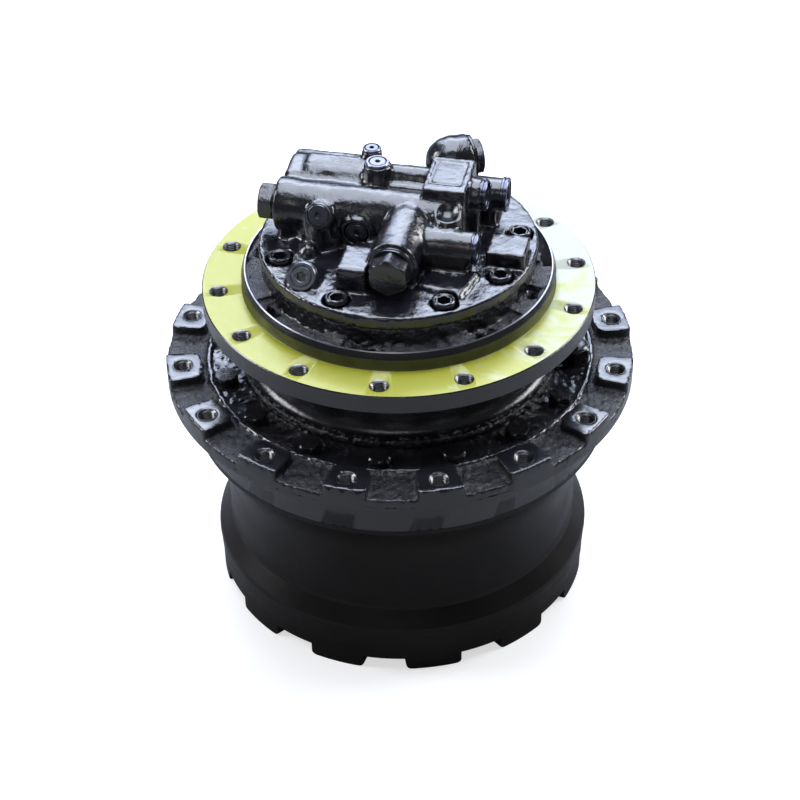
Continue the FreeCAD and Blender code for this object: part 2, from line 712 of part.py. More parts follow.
def ring_gear():
    body = revolved([
        (hub_sleeve_r + fit_gap, hub_joint_z), (hub_joint_r, hub_joint_z), (hub_joint_r, hub_joint_z - 6),
        (barrel_r + barrel_flare, -215, "arc"), (barrel_r, -272), (barrel_r, -308),
        (barrel_r + 0.8, -313), (ring_band_r, -331),
        (ring_band_r + 1, -336, "arc"), (ring_band_r + 0.6, -341), (ring_end_r, ring_joint_z),
        (ring_recess_r, ring_joint_z), (ring_recess_r, ring_tooth_end_z), (ring_bore_r, ring_tooth_end_z),
        (ring_bore_r, ring_tooth_top_z),
        (hub_sleeve_r + 4, ring_tooth_top_z), (hub_sleeve_r + fit_gap, ring_tooth_top_z + 6)])
    height = ring_tooth_top_z - ring_tooth_end_z + 4
    space = gear_face(ring_teeth, 0.0, True).extrude(V(0, 0, height))
    space.translate(V(0, 0, ring_tooth_end_z - 2))
    tools = [space]
    for circle_r, spot_r, deg in hub_bolt_places():
        x, y = polar(circle_r, deg)
        tools.append(cylinder(m16_shank_r, hub_joint_z - 29, hub_joint_z + 1, x, y))
    for deg in spaced(lug_count, lug_start_deg):
        x, y = polar(cover_screw_circle_r, deg)
        tools.append(cylinder(6.0, ring_joint_z - 1, ring_joint_z + 24, x, y))
    return body.cut(tools)


def cover():
    body = revolved([
        (0, ring_tooth_end_z - 5), (150, ring_tooth_end_z - 5), (190, ring_tooth_end_z - 3),
        (ring_recess_r - fit_gap, ring_tooth_end_z - 3), (ring_recess_r - fit_gap, ring_joint_z),
        (cover_r, ring_joint_z),
        (cover_r, cover_flange_end_z + 2), (cover_r - 2, cover_flange_end_z), (176, cover_flange_end_z),
        (160, -372), (96, -372), (84, -386), (0, -386)])
    lugs = []
    for deg in spaced(lug_count, lug_start_deg):
        lugs.append(cover_lug(deg))
    for deg in cover_plug_angles:
        x, y = polar(cover_plug_circle_r, deg)
        lugs.append(cylinder(cover_boss_r, cover_plug_z, cover_plug_z + 16, x, y))
    body = union(body, lugs)
    cuts = []
    for deg in spaced(lug_count, lug_start_deg):
        x, y = polar(cover_screw_circle_r, deg)
        cuts.append(cylinder(6.0 + seat_gap, lug_end_z - 1, ring_joint_z + 1, x, y))
        cuts.append(cylinder(9.6, lug_end_z - 1, lug_end_z + 13, x, y))
    for deg in cover_plug_angles:
        x, y = polar(cover_plug_circle_r, deg)
        cuts.append(cylinder(10.0, cover_plug_z - 1, ring_tooth_end_z, x, y))
    return body.cut(cuts)


def cover_lug(deg):
    """Screw boss on the cover's rim, broad at the rim and rounded toward the centre."""
    half_w = cover_r * math.sin(math.radians(lug_deg / 2.0))
    lug = block(186, cover_r + 4, -half_w, half_w, lug_end_z, cover_flange_end_z + 3)
    lug = lug.makeFillet(9.0, [e for e in lug.Edges if abs(e.Vertexes[0].Z - e.Vertexes[-1].Z) > 5])
    low = [e for e in lug.Edges if max(v.Z for v in e.Vertexes) < lug_end_z + 0.1]
    lug = lug.makeFillet(5.0, low)
    return turned(lug.common(cylinder(cover_r, -400, -300)), deg)


def cover_screws():
    screw = socket_cap(9.0, 12.0, 10.0, 6.0, 40.0)
    made = []
    for deg in spaced(lug_count, lug_start_deg):
        x, y = polar(cover_screw_circle_r, deg)
        made.append(aimed(screw, V(x, y, lug_end_z + 13), V(0, 0, -1)))
    return made


def cover_plugs():
    plug = socket_cap(14.0, 5.0, 12.0, 10.0, 16.0)
    return [aimed(plug, V(*polar(cover_plug_circle_r, deg), cover_plug_z), V(0, 0, -1))
            for deg in cover_plug_angles]


def race(outer, z):
    top = z
    end = z - bearing_w
    if outer:
        return tube(bearing_bore_r, bearing_bore_r - race_t, end, top)
    return tube(spindle_r + race_t, spindle_r, end, top)


def roller_places():
    rows = (bearing_upper_z - bearing_w / 2, bearing_lower_z - bearing_w / 2)
    return [(z, deg) for z in rows for deg in spaced(roller_count)]


def bearing_rollers():
    made = []
    for z, deg in roller_places():
        x, y = polar(roller_circle_r, deg)
        made.append(cylinder(roller_r, z - roller_h / 2, z + roller_h / 2, x, y))
    return made


def bearing_cages():
    made = []
    for top in (bearing_upper_z, bearing_lower_z):
        cage = tube(roller_circle_r + 4.5, roller_circle_r - 4.5, top - bearing_w + 1.5, top - 1.5)
        z = top - bearing_w / 2
        pockets = [cylinder(roller_r + 0.2, z - roller_h / 2 - 0.3, z + roller_h / 2 + 0.3,
                            *polar(roller_circle_r, deg)) for deg in spaced(roller_count)]
        made.append(cage.cut(pockets))
    return made


def seal_ring(upper):
    """Hard ring with a tapered back; the hub's ring is the case's ring turned over."""
    sign = 1 if upper else -1
    face = seal_face_z + sign * 0.03
    points = [(17, 0), (4, 0), (4, 2.5), (9, 4.5), (10.5, 12), (17, 12)]
    return revolved([(seal_outer_r - inset, face + sign * h) for inset, h in points])


def load_ring(upper):
    sign = 1 if upper else -1
    points = [(9.4, 11.8), (8, 4.9), (seat_gap, 6.2), (seat_gap, 13.2)]
    return revolved([(seal_outer_r - inset, seal_face_z + sign * h) for inset, h in points])


# Planetary gearing -------------------------------------------------------------------------------

def planet(sun_teeth, deg, z):
    x, y = polar(planet_circle_r(sun_teeth), deg)
    phase = planet_phase(sun_teeth, deg)
    return gear(planet_teeth(sun_teeth), phase, z[0], z[1], planet_pin_r + fit_gap, x, y)


def planet_pins(sun_teeth, count, z0, z1):
    made = []
    for deg in spaced(count):
        x, y = polar(planet_circle_r(sun_teeth), deg)
        made.append(cylinder(planet_pin_r, z0, z1, x, y))
    return made


def planet_carrier_2():
    top = spindle_end_z
    body = tube(carrier_plate_r, 38, top - carrier_2_t, top)
    body = body.fuse(tube(spindle_bore_r - fit_gap, 60, top - 1, top + 8)).removeSplitter()
    cuts = planet_pins(sun_2_teeth, planet_count_2, top - 20, top - 2)
    for deg in spaced(carrier_screw_count, carrier_screw_start_deg):
        x, y = polar(carrier_screw_circle_r, deg)
        cuts.append(cylinder(6.0, top - 20, top + 1, x, y))
        cuts.append(cylinder(9.2, top - 20, top - 4, x, y))
    return body.cut(cuts)


def carrier_screws():
    screw = socket_cap(9.0, 11.0, 10.0, 6.0, 36.0)
    made = []
    for deg in spaced(carrier_screw_count, carrier_screw_start_deg):
        x, y = polar(carrier_screw_circle_r, deg)
        made.append(aimed(screw, V(x, y, spindle_end_z - 4), V(0, 0, -1)))
    return made


def planet_carrier_1():
    arms = []
    for deg in spaced(planet_count_1):
        x, y = polar(planet_circle_r(sun_1_teeth), deg)
        arms.append(cylinder(24, carrier_1_end_z, carrier_1_top_z, x, y))
    body = union(cylinder(carrier_plate_r - 14, carrier_1_end_z, carrier_1_top_z), arms)
    cuts = planet_pins(sun_1_teeth, planet_count_1, carrier_1_end_z - 1, carrier_1_top_z - 1.5)
    return body.cut(cuts + [cylinder(34, carrier_1_end_z - 1, carrier_1_top_z + 1)])


def sun_gear_2():
    teeth = gear(sun_2_teeth, sun_phase(sun_2_teeth), sun_2_z[0], sun_2_z[1], 22.0)
    neck = tube(34, 22, carrier_1_end_z, sun_2_z[0])
    return union(teeth, [neck])


def sun_gear_1():
    teeth = gear(sun_1_teeth, sun_phase(sun_1_teeth), sun_1_z[0], sun_1_z[1], 0.5)
    teeth = teeth.fuse(cylinder(10, sun_1_z[0], sun_1_z[1]))
    stem = cylinder(18, sun_1_z[1], -176)
    sleeve = revolved([(0, -176), (18, -184), (26, -176), (26, bulkhead_end_z - 3),
                       (shaft_r, bulkhead_end_z - 3), (shaft_r, bulkhead_end_z - 22.3),
                       (0, bulkhead_end_z - 22.3)])
    return union(teeth, [stem, sleeve])



def build():
    save("motor_case", motor_case())
    save("valve_head", valve_head())
    save("head_screws", head_screws())
    spool_cap = hex_cap(15.0, 20.0, 4.0, 15.0, 12.0)
    save("spool_cap_left", head_piece(spool_cap, (-133, spool_y, spool_z), (-1, 0, 0)))
    right_cap = socket_cap(15.0, 2.0, 12.0, 14.8, 8.0)
    save("spool_cap_right", head_piece(right_cap, (70, spool_y, spool_z), (1, 0, 0)))
    relief_cap = hex_cap(19.0, 22.5, 6.0, 15.0, 18.0)
    save("relief_cap_front", head_piece(relief_cap, (relief_x, -96, relief_z), (0, -1, 0)))
    rear_cap = hex_cap(9.0, 25.0, 5.0, 15.0, 18.0)
    rear_way = direction(rear_relief_start, rear_relief_end)
    save("relief_cap_rear", head_piece(rear_cap, rear_relief_end, rear_way))
    save("control_plug", head_piece(socket_cap(12.5, 5.0, 8.0, 8.0, 14.0), control_seat, (0, 0, 1)))
    save("bleed_plug", head_piece(socket_cap(9.5, 3.0, 6.0, 6.0, 12.0), bleed_seat, (0, 0, 1)))
    save("pilot_plug", head_piece(socket_cap(12.5, 4.0, 6.0, 8.0, 12.0), pilot_seat,
                                  direction(pilot_start, pilot_seat)))
    save("drain_plug_upper", head_piece(socket_cap(13.5, 4.5, 12.0, 10.0, 12.0), low_seat,
                                        direction(low_start, low_seat)))
    save("test_plug", head_piece(socket_cap(11.5, 4.0, 6.0, 7.0, 10.0), (-38, -29, 76), (0, -1, 0)))
    save("counterbalance_spool", counterbalance_spool())
    save("drive_shaft", drive_shaft())
    save("cylinder_block", cylinder_block())
    save("pistons", pistons())
    save("retainer_plate", retainer_plate())
    save("valve_plate", valve_plate())
    save("swash_plate", swash_plate())
    save("servo_piston", servo_piston())
    save("friction_plates", friction_plates())
    save("brake_steel_plates", brake_steel_plates())
    save("brake_piston", brake_piston())
    save("brake_spring", brake_spring())
    save("shaft_bearing",
         bushing(shaft_bearing_r, shaft_journal_r + fit_gap, motor_floor_z - 16, motor_floor_z))
    save("shaft_seal", bushing(shaft_bearing_r, shaft_journal_r + seat_gap, bulkhead_end_z + 1,
                               motor_floor_z - 17))
    save("hub", hub())
    save("hub_bolts", hub_bolts())
    save("index_bolt", index_bolt())
    save("ring_gear", ring_gear())
    save("cover", cover())
    save("cover_screws", cover_screws())
    save("cover_plugs", cover_plugs())
    save("bearing_inner_upper", race(False, bearing_upper_z))
    save("bearing_inner_lower", race(False, bearing_lower_z))
    save("bearing_outer_upper", race(True, bearing_upper_z))
    save("bearing_outer_lower", race(True, bearing_lower_z))
    spacer = tube(spindle_r + 9, spindle_r, bearing_lower_z, bearing_upper_z - bearing_w)
    save("bearing_spacer", spacer)
    save("bearing_cages", bearing_cages())
    save("bearing_rollers", bearing_rollers())
    save("seal_ring_case", seal_ring(True))
    save("seal_ring_hub", seal_ring(False))
    save("load_ring_case", load_ring(True))
    save("load_ring_hub", load_ring(False))
    save("planet_carrier_2", planet_carrier_2())
    save("carrier_screws", carrier_screws())
    save("planet_pins_2", planet_pins(sun_2_teeth, planet_count_2, planets_2_z[0] - 3, spindle_end_z - 2))
    save("sun_gear_2", sun_gear_2())
    for k, deg in enumerate(spaced(planet_count_2)):
        save("planet_2_%d" % (k + 1), planet(sun_2_teeth, deg, planets_2_z))
    save("planet_carrier_1", planet_carrier_1())
    pins_1 = planet_pins(sun_1_teeth, planet_count_1, planets_1_z[0] - 1, carrier_1_top_z - 1.5)
    save("planet_pins_1", pins_1)
    save("sun_gear_1", sun_gear_1())
    for k, deg in enumerate(spaced(planet_count_1)):
        save("planet_1_%d" % (k + 1), planet(sun_1_teeth, deg, planets_1_z))


build()
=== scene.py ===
import json
import math

import bmesh
import bpy
import numpy as np
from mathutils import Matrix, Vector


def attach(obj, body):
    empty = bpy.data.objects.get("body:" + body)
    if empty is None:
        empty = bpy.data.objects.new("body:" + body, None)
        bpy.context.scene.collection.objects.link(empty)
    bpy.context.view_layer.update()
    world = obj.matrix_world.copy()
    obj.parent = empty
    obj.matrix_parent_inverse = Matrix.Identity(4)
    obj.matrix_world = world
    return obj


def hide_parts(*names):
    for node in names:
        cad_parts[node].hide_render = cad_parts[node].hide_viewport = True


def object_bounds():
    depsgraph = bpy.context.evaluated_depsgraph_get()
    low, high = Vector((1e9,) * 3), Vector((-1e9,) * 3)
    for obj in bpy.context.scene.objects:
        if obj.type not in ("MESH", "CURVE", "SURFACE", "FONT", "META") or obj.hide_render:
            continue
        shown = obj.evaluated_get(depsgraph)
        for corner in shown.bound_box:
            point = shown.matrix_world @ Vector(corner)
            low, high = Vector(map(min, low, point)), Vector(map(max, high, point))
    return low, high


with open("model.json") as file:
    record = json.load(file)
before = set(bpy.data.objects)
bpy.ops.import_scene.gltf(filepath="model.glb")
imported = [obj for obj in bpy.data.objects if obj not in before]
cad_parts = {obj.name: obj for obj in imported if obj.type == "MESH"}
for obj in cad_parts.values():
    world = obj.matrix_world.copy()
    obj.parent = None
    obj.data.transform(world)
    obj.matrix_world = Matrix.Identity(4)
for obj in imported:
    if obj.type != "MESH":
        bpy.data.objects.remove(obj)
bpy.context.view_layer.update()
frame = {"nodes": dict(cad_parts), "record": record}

import openvdb
from mathutils import Matrix, Vector

nodes = frame["nodes"]
mm = 0.001

# Camera, lamps and floor.

view = {"aim": (-0.0008, 0.0, -0.1732), "distance": 2.3896, "elevation": 37.85, "roll": -0.897,
        "lens": 92.57}

lamps = {
    # name: (place, aim, width, height, watts, colour)
    "skyAbove": ((0.0, 1.0, 2.7), (0.0, 0.15, 0.0), 2.4, 4.0, 180, (0.78, 0.85, 1.0)),
    "skyBack": ((0.0, 3.3, 2.3), (0.0, 0.0, -0.1), 4.4, 2.0, 110, (0.66, 0.76, 1.0)),
    "windowLeft": ((-2.6, 0.2, 1.3), (0.0, 0.0, -0.1), 1.0, 1.6, 48, (0.93, 0.95, 1.0)),
    "windowRight": ((2.6, 0.9, 1.4), (0.0, 0.0, -0.1), 1.2, 1.5, 60, (0.95, 0.97, 1.0)),
    "frontFill": ((-0.5, -2.8, 2.4), (0.0, 0.0, -0.15), 1.6, 0.9, 7, (1.0, 0.98, 0.96)),
}


def addCamera():
    data = bpy.data.cameras.new("mainCamera")
    data.lens = view["lens"]
    data.sensor_width = 36.0
    cam = bpy.data.objects.new("mainCamera", data)
    bpy.context.scene.collection.objects.link(cam)
    tilt = math.radians(view["elevation"])
    away = Vector((0.0, -math.cos(tilt), math.sin(tilt)))
    cam.location = Vector(view["aim"]) + away * view["distance"]
    turn = (-away).to_track_quat("-Z", "Y").to_matrix()
    cam.rotation_euler = (turn @ Matrix.Rotation(math.radians(view["roll"]), 3, "Z")).to_euler()
    bpy.context.scene.camera = cam
    bpy.context.scene.view_settings.view_transform = "Standard"


def addLamps():
    for name, (place, aim, width, height, watts, colour) in lamps.items():
        data = bpy.data.lights.new(name, "AREA")
        data.shape = "RECTANGLE"
        data.size = width
        data.size_y = height
        data.energy = watts
        data.color = colour
        lamp = bpy.data.objects.new(name, data)
        lamp.location = place
        lamp.rotation_euler = (Vector(aim) - Vector(place)).to_track_quat("-Z", "Y").to_euler()
        bpy.context.scene.collection.objects.link(lamp)


# One shader node with its settings and inputs; an input may be a value or another node's output.
def shade(tree, kind, inputs=None, **settings):
    node = tree.nodes.new("ShaderNode" + kind)
    for key, value in settings.items():
        setattr(node, key, value)
    for key, value in (inputs or {}).items():
        if isinstance(value, bpy.types.NodeSocket):
            tree.links.new(value, node.inputs[key])
        else:
            node.inputs[key].default_value = value
    return node


def directRays(tree, seen):
    either = shade(tree, "Math", {0: seen.outputs["Is Camera Ray"], 1: seen.outputs["Is Transmission Ray"]},
                   operation="MAXIMUM")
    return either.outputs[0]


def addStage():
    world = bpy.data.worlds.new("studio")
    bpy.context.scene.world = world
    world.use_nodes = True
    tree = world.node_tree
    tree.nodes.clear()
    seen = shade(tree, "LightPath")
    strength = shade(tree, "MixRGB", {"Fac": directRays(tree, seen), "Color1": (0.1, 0.105, 0.12, 1),
                                      "Color2": (1, 1, 1, 1)})
    back = shade(tree, "Background", {"Color": strength.outputs[0], "Strength": 1.0})
    out = shade(tree, "OutputWorld", {"Surface": back.outputs[0]})

    mesh = bpy.data.meshes.new("floor")
    half = 6.0
    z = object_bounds()[0][2] - 0.0004
    corners = [(-half, -half, z), (half, -half, z), (half, half, z), (-half, half, z)]
    mesh.from_pydata(corners, [], [(0, 1, 2, 3)])
    floor = bpy.data.objects.new("floor", mesh)
    bpy.context.scene.collection.objects.link(floor)
    mat = bpy.data.materials.new("paleFloor")
    mat.use_nodes = True
    tree = mat.node_tree
    tree.nodes.clear()
    seen = shade(tree, "LightPath")
    lit = shade(tree, "BsdfDiffuse", {"Color": (0.55, 0.55, 0.55, 1)})
    plain = shade(tree, "BsdfDiffuse", {"Color": (0.3, 0.3, 0.3, 1)})
    glow = shade(tree, "Emission", {"Color": (1, 1, 1, 1), "Strength": 0.62})
    shown = shade(tree, "AddShader", {0: lit.outputs[0], 1: glow.outputs[0]})
    mix = shade(tree, "MixShader", {0: directRays(tree, seen), 1: plain.outputs[0], 2: shown.outputs[0]})
    shade(tree, "OutputMaterial", {"Surface": mix.outputs[0]})
    mesh.materials.append(mat)


addCamera()
addLamps()
addStage()
print("stage: camera, lamps and floor")

# Cast shapes: a distance field on a grid, filled and hollowed with soft joins, then skinned.

headTurn = math.radians(-13.0)


def newField(low, high, step):
    axes = [np.arange(low[k], high[k] + step, step, dtype=np.float32) for k in range(3)]
    return {"axes": axes, "low": low, "step": step,
            "values": np.full([len(a) for a in axes], 12.0, np.float32)}


# The part of the grid round some points, as slices and as coordinates.
def nearby(field, points, reach):
    picks = []
    for k in range(3):
        lowest = min(p[k] for p in points) - reach - field["low"][k]
        highest = max(p[k] for p in points) + reach - field["low"][k]
        picks.append(slice(max(0, int(lowest / field["step"])), max(1, int(highest / field["step"]) + 2)))
    picks = tuple(picks)
    return picks, axesOf(field, picks)


def axesOf(field, picks=(slice(None),) * 3):
    return [field["axes"][k][picks[k]].reshape([-1 if i == k else 1 for i in range(3)]) for k in range(3)]


# Distance to the meeting of two walls, from the distances to each.
def meeting(side, cap):
    return np.minimum(np.maximum(side, cap), 0) + np.hypot(np.maximum(side, 0), np.maximum(cap, 0))


def softMin(a, b, soft):
    if soft < 0.05:
        return np.minimum(a, b)
    h = np.maximum(soft - np.abs(a - b), 0.0) / soft
    return np.minimum(a, b) - h * h * soft * 0.25


def apply(field, picks, distance, soft, cut):
    old = field["values"][picks]
    if cut:
        field["values"][picks] = -softMin(-old, distance, soft)
    else:
        field["values"][picks] = softMin(old, distance, soft)


# Round bar or cone between two points, with its rims rounded by edge.
def rod(field, start, end, r, endR=None, edge=1.0, soft=5.0, cut=False):
    endR = r if endR is None else endR
    a, b = np.array(start, float), np.array(end, float)
    length = float(np.linalg.norm(b - a))
    d = (b - a) / length
    picks, (x, y, z) = nearby(field, (start, end), max(r, endR) + soft + 4)
    along = (x - a[0]) * d[0] + (y - a[1]) * d[1] + (z - a[2]) * d[2]
    square = (x - a[0]) ** 2 + (y - a[1]) ** 2 + (z - a[2]) ** 2
    away = np.sqrt(np.maximum(square - along * along, 0))
    t = np.clip(along / length, 0, 1)
    side = (away - (r + (endR - r) * t)) * (length / math.hypot(length, endR - r)) + edge
    cap = np.abs(along - length / 2) - length / 2 + edge
    distance = meeting(side, cap) - edge
    apply(field, picks, distance, soft, cut)


def ball(field, centre, r, soft=5.0, cut=False, stretch=(1, 1, 1)):
    picks, (x, y, z) = nearby(field, (centre,), r * max(stretch) + soft + 3)
    distance = np.sqrt(((x - centre[0]) / stretch[0]) ** 2 + ((y - centre[1]) / stretch[1]) ** 2
                       + ((z - centre[2]) / stretch[2]) ** 2) - r
    apply(field, picks, distance, soft, cut)


# Rounded box. turn is in degrees about its own centre, draft leans its walls in, slope tips its top
# along y.
def slab(field, low, high, edge=2.0, soft=4.0, cut=False, turn=0.0, draft=0.0, slope=0.0):
    centre = [(low[k] + high[k]) / 2 for k in range(3)]
    half = [(high[k] - low[k]) / 2 for k in range(3)]
    reach = math.hypot(half[0], half[1]) + soft + 3
    picks, (x, y, z) = nearby(field, (centre,), max(reach, half[2] + soft + 3))
    c, s = math.cos(math.radians(turn)), math.sin(math.radians(turn))
    u = (x - centre[0]) * c + (y - centre[1]) * s
    v = (y - centre[1]) * c - (x - centre[0]) * s
    w = z - centre[2] - slope * v
    lean = draft * (w + half[2])
    q = [np.abs(u) - half[0] + edge + lean, np.abs(v) - half[1] + edge + lean, np.abs(w) - half[2] + edge]
    inside = np.minimum(np.maximum(np.maximum(q[0], q[1]), q[2]), 0)
    distance = inside + np.sqrt(sum(np.maximum(k, 0) ** 2 for k in q)) - edge
    apply(field, picks, distance, soft, cut)


# Low waves of a sand casting over the whole field.
def ripple(field, size, depth, seed):
    rng = np.random.default_rng(seed)
    x, y, z = axesOf(field)
    total = 0
    for _ in range(7):
        d = rng.normal(size=3)
        d *= 2 * math.pi / (size * rng.uniform(0.6, 1.6) * np.linalg.norm(d))
        total = total + np.sin(x * d[0] + y * d[1] + z * d[2] + rng.uniform(0, 6.28))
    field["values"] += (depth / 3.5) * total


# Closed mesh of a field, in metres.
def skin(field, name, turn=0.0, thin=0.0):
    grid = openvdb.FloatGrid(6.0)
    grid.copyFromArray(field["values"])
    points, triangles, quads = grid.convertToPolygons(0.0, thin)
    points = points * field["step"] + np.array(field["low"])
    c, s = math.cos(turn), math.sin(turn)
    points = np.column_stack([points[:, 0] * c - points[:, 1] * s, points[:, 0] * s + points[:, 1] * c,
                              points[:, 2]]) * mm
    mesh = bpy.data.meshes.new(name)
    mesh.from_pydata(points.tolist(), [], quads.tolist() + triangles.tolist())
    mesh.validate()
    obj = bpy.data.objects.new(name, mesh)
    bpy.context.scene.collection.objects.link(obj)
    bm = bmesh.new()
    bm.from_mesh(mesh)
    bmesh.ops.recalc_face_normals(bm, faces=bm.faces)
    bm.to_mesh(mesh)
    bm.free()
    mesh.polygons.foreach_set("use_smooth", [True] * len(mesh.polygons))
    return obj

# Turned and repeated parts.


def ring(field, r0, r1, z0, z1, edge=1.0, soft=4.0, cut=False):
    x, y, z = axesOf(field)
    away = np.sqrt(x * x + y * y)
    side = np.abs(away - (r0 + r1) / 2) - (r1 - r0) / 2 + edge
    cap = np.abs(z - (z0 + z1) / 2) - (z1 - z0) / 2 + edge
    distance = meeting(side, cap) - edge
    apply(field, (slice(None),) * 3, distance, soft, cut)


# Kidney along a circle, from one angle to another in degrees.
def arcSlot(field, r, half, start, end, z0, z1, soft=2.0, cut=True):
    middle, spread = math.radians((start + end) / 2), math.radians((end - start) / 2)
    points = [(r * math.cos(math.radians(d)), r * math.sin(math.radians(d)), (z0 + z1) / 2)
              for d in (start, (start + end) / 2, end)]
    picks, (x, y, z) = nearby(field, points, half + soft + (z1 - z0) / 2 + 6)
    u = x * math.cos(middle) + y * math.sin(middle)
    v = y * math.cos(middle) - x * math.sin(middle)
    along = np.clip(np.arctan2(v, u), -spread, spread)
    side = np.hypot(u - r * np.cos(along), v - r * np.sin(along)) - half
    cap = np.abs(z - (z0 + z1) / 2) - (z1 - z0) / 2
    distance = meeting(side, cap)
    apply(field, picks, distance, soft, cut)


# Land with radial sides, at an angle round the drive axis.
def wedge(field, deg, spreadDeg, r0, r1, z0, z1, edge=3.0, soft=2.0, cut=False):
    a = math.radians(deg)
    points = [(r * math.cos(a), r * math.sin(a), (z0 + z1) / 2) for r in (r0, r1)]
    picks, (x, y, z) = nearby(field, points, r1 * math.tan(math.radians(spreadDeg)) + soft + 3)
    u = x * math.cos(a) + y * math.sin(a)
    v = y * math.cos(a) - x * math.sin(a)
    lean = math.radians(spreadDeg)
    q = [np.abs(u - (r0 + r1) / 2) - (r1 - r0) / 2 + edge * 2,
         (np.abs(v) - u * math.tan(lean)) * math.cos(lean) + edge * 2]
    flat = meeting(q[0], q[1]) - edge * 2
    cap = np.abs(z - (z0 + z1) / 2) - (z1 - z0) / 2
    q = [flat + 0.5, cap + 0.5]
    distance = meeting(q[0], q[1]) - 0.5
    apply(field, picks, distance, soft, cut)


def newObject(name, mesh):
    obj = bpy.data.objects.new(name, mesh)
    bpy.context.scene.collection.objects.link(obj)
    return obj


def soften(mesh, sharpDeg=32.0):
    mesh.polygons.foreach_set("use_smooth", [abs(face.normal.z) < 0.9995 for face in mesh.polygons])
    mesh.set_sharp_from_angle(angle=math.radians(sharpDeg))


# Closed turned mesh from (radius, height) points in mm, taken anticlockwise as seen with the axis on
# the left.
def lathe(name, profile, around=256, move=None, place=None):
    points, faces = [], []
    count = len(profile)
    for k in range(around):
        a = 2 * math.pi * k / around
        for j, (r, z) in enumerate(profile):
            p = Vector((r * math.cos(a), r * math.sin(a), z))
            if move is not None:
                p = p + move(p, r, z, a, j)
            points.append(p)
    for k in range(around):
        for j in range(count):
            i, n = (j + 1) % count, (k + 1) % around
            if profile[j][0] > 1e-6 or profile[i][0] > 1e-6:
                faces.append((k * count + j, n * count + j, n * count + i, k * count + i))
    mesh = bpy.data.meshes.new(name)
    mesh.from_pydata([tuple(p * mm) for p in points], [], faces)
    bm = bmesh.new()
    bm.from_mesh(mesh)
    bmesh.ops.remove_doubles(bm, verts=bm.verts, dist=1e-7)
    bmesh.ops.dissolve_degenerate(bm, dist=1e-8, edges=bm.edges)
    bmesh.ops.recalc_face_normals(bm, faces=bm.faces)
    if place is not None:
        bmesh.ops.transform(bm, matrix=place, verts=bm.verts)
    bm.to_mesh(mesh)
    bm.free()
    soften(mesh)
    return newObject(name, mesh)


# obj's mesh with its modifiers applied, as a plain mesh.
def settled(obj):
    graph = bpy.context.evaluated_depsgraph_get()
    mesh = bpy.data.meshes.new_from_object(obj.evaluated_get(graph))
    obj.modifiers.clear()
    old = obj.data
    obj.data = mesh
    bpy.data.meshes.remove(old)
    return obj


def joined(name, objects):
    bm = bmesh.new()
    for obj in objects:
        bm.from_mesh(obj.data)
    mesh = bpy.data.meshes.new(name)
    bm.to_mesh(mesh)
    bm.free()
    for slot in objects[0].data.materials:
        mesh.materials.append(slot)
    for obj in objects:
        old = obj.data
        bpy.data.objects.remove(obj)
        bpy.data.meshes.remove(old)
    soften(mesh)
    return newObject(name, mesh)


# obj with the cutters taken out of it.
def bored(obj, cutters):
    tool = joined("cutters", cutters)
    cut = obj.modifiers.new("bores", "BOOLEAN")
    cut.operation = "DIFFERENCE"
    cut.solver = "EXACT"
    cut.use_self = False
    cut.object = tool
    settled(obj)
    old = tool.data
    bpy.data.objects.remove(tool)
    bpy.data.meshes.remove(old)
    soften(obj.data)
    return obj


# Matrix that carries a part built up along Z to start (metres), pointing along direction.
def aim(start, direction):
    turn = Vector(direction).normalized().to_track_quat("Z", "Y").to_matrix().to_4x4()
    return Matrix.Translation(Vector(start)) @ turn


def onCircle(r, deg, z):
    return Vector((r * mm * math.cos(math.radians(deg)), r * mm * math.sin(math.radians(deg)), z * mm))


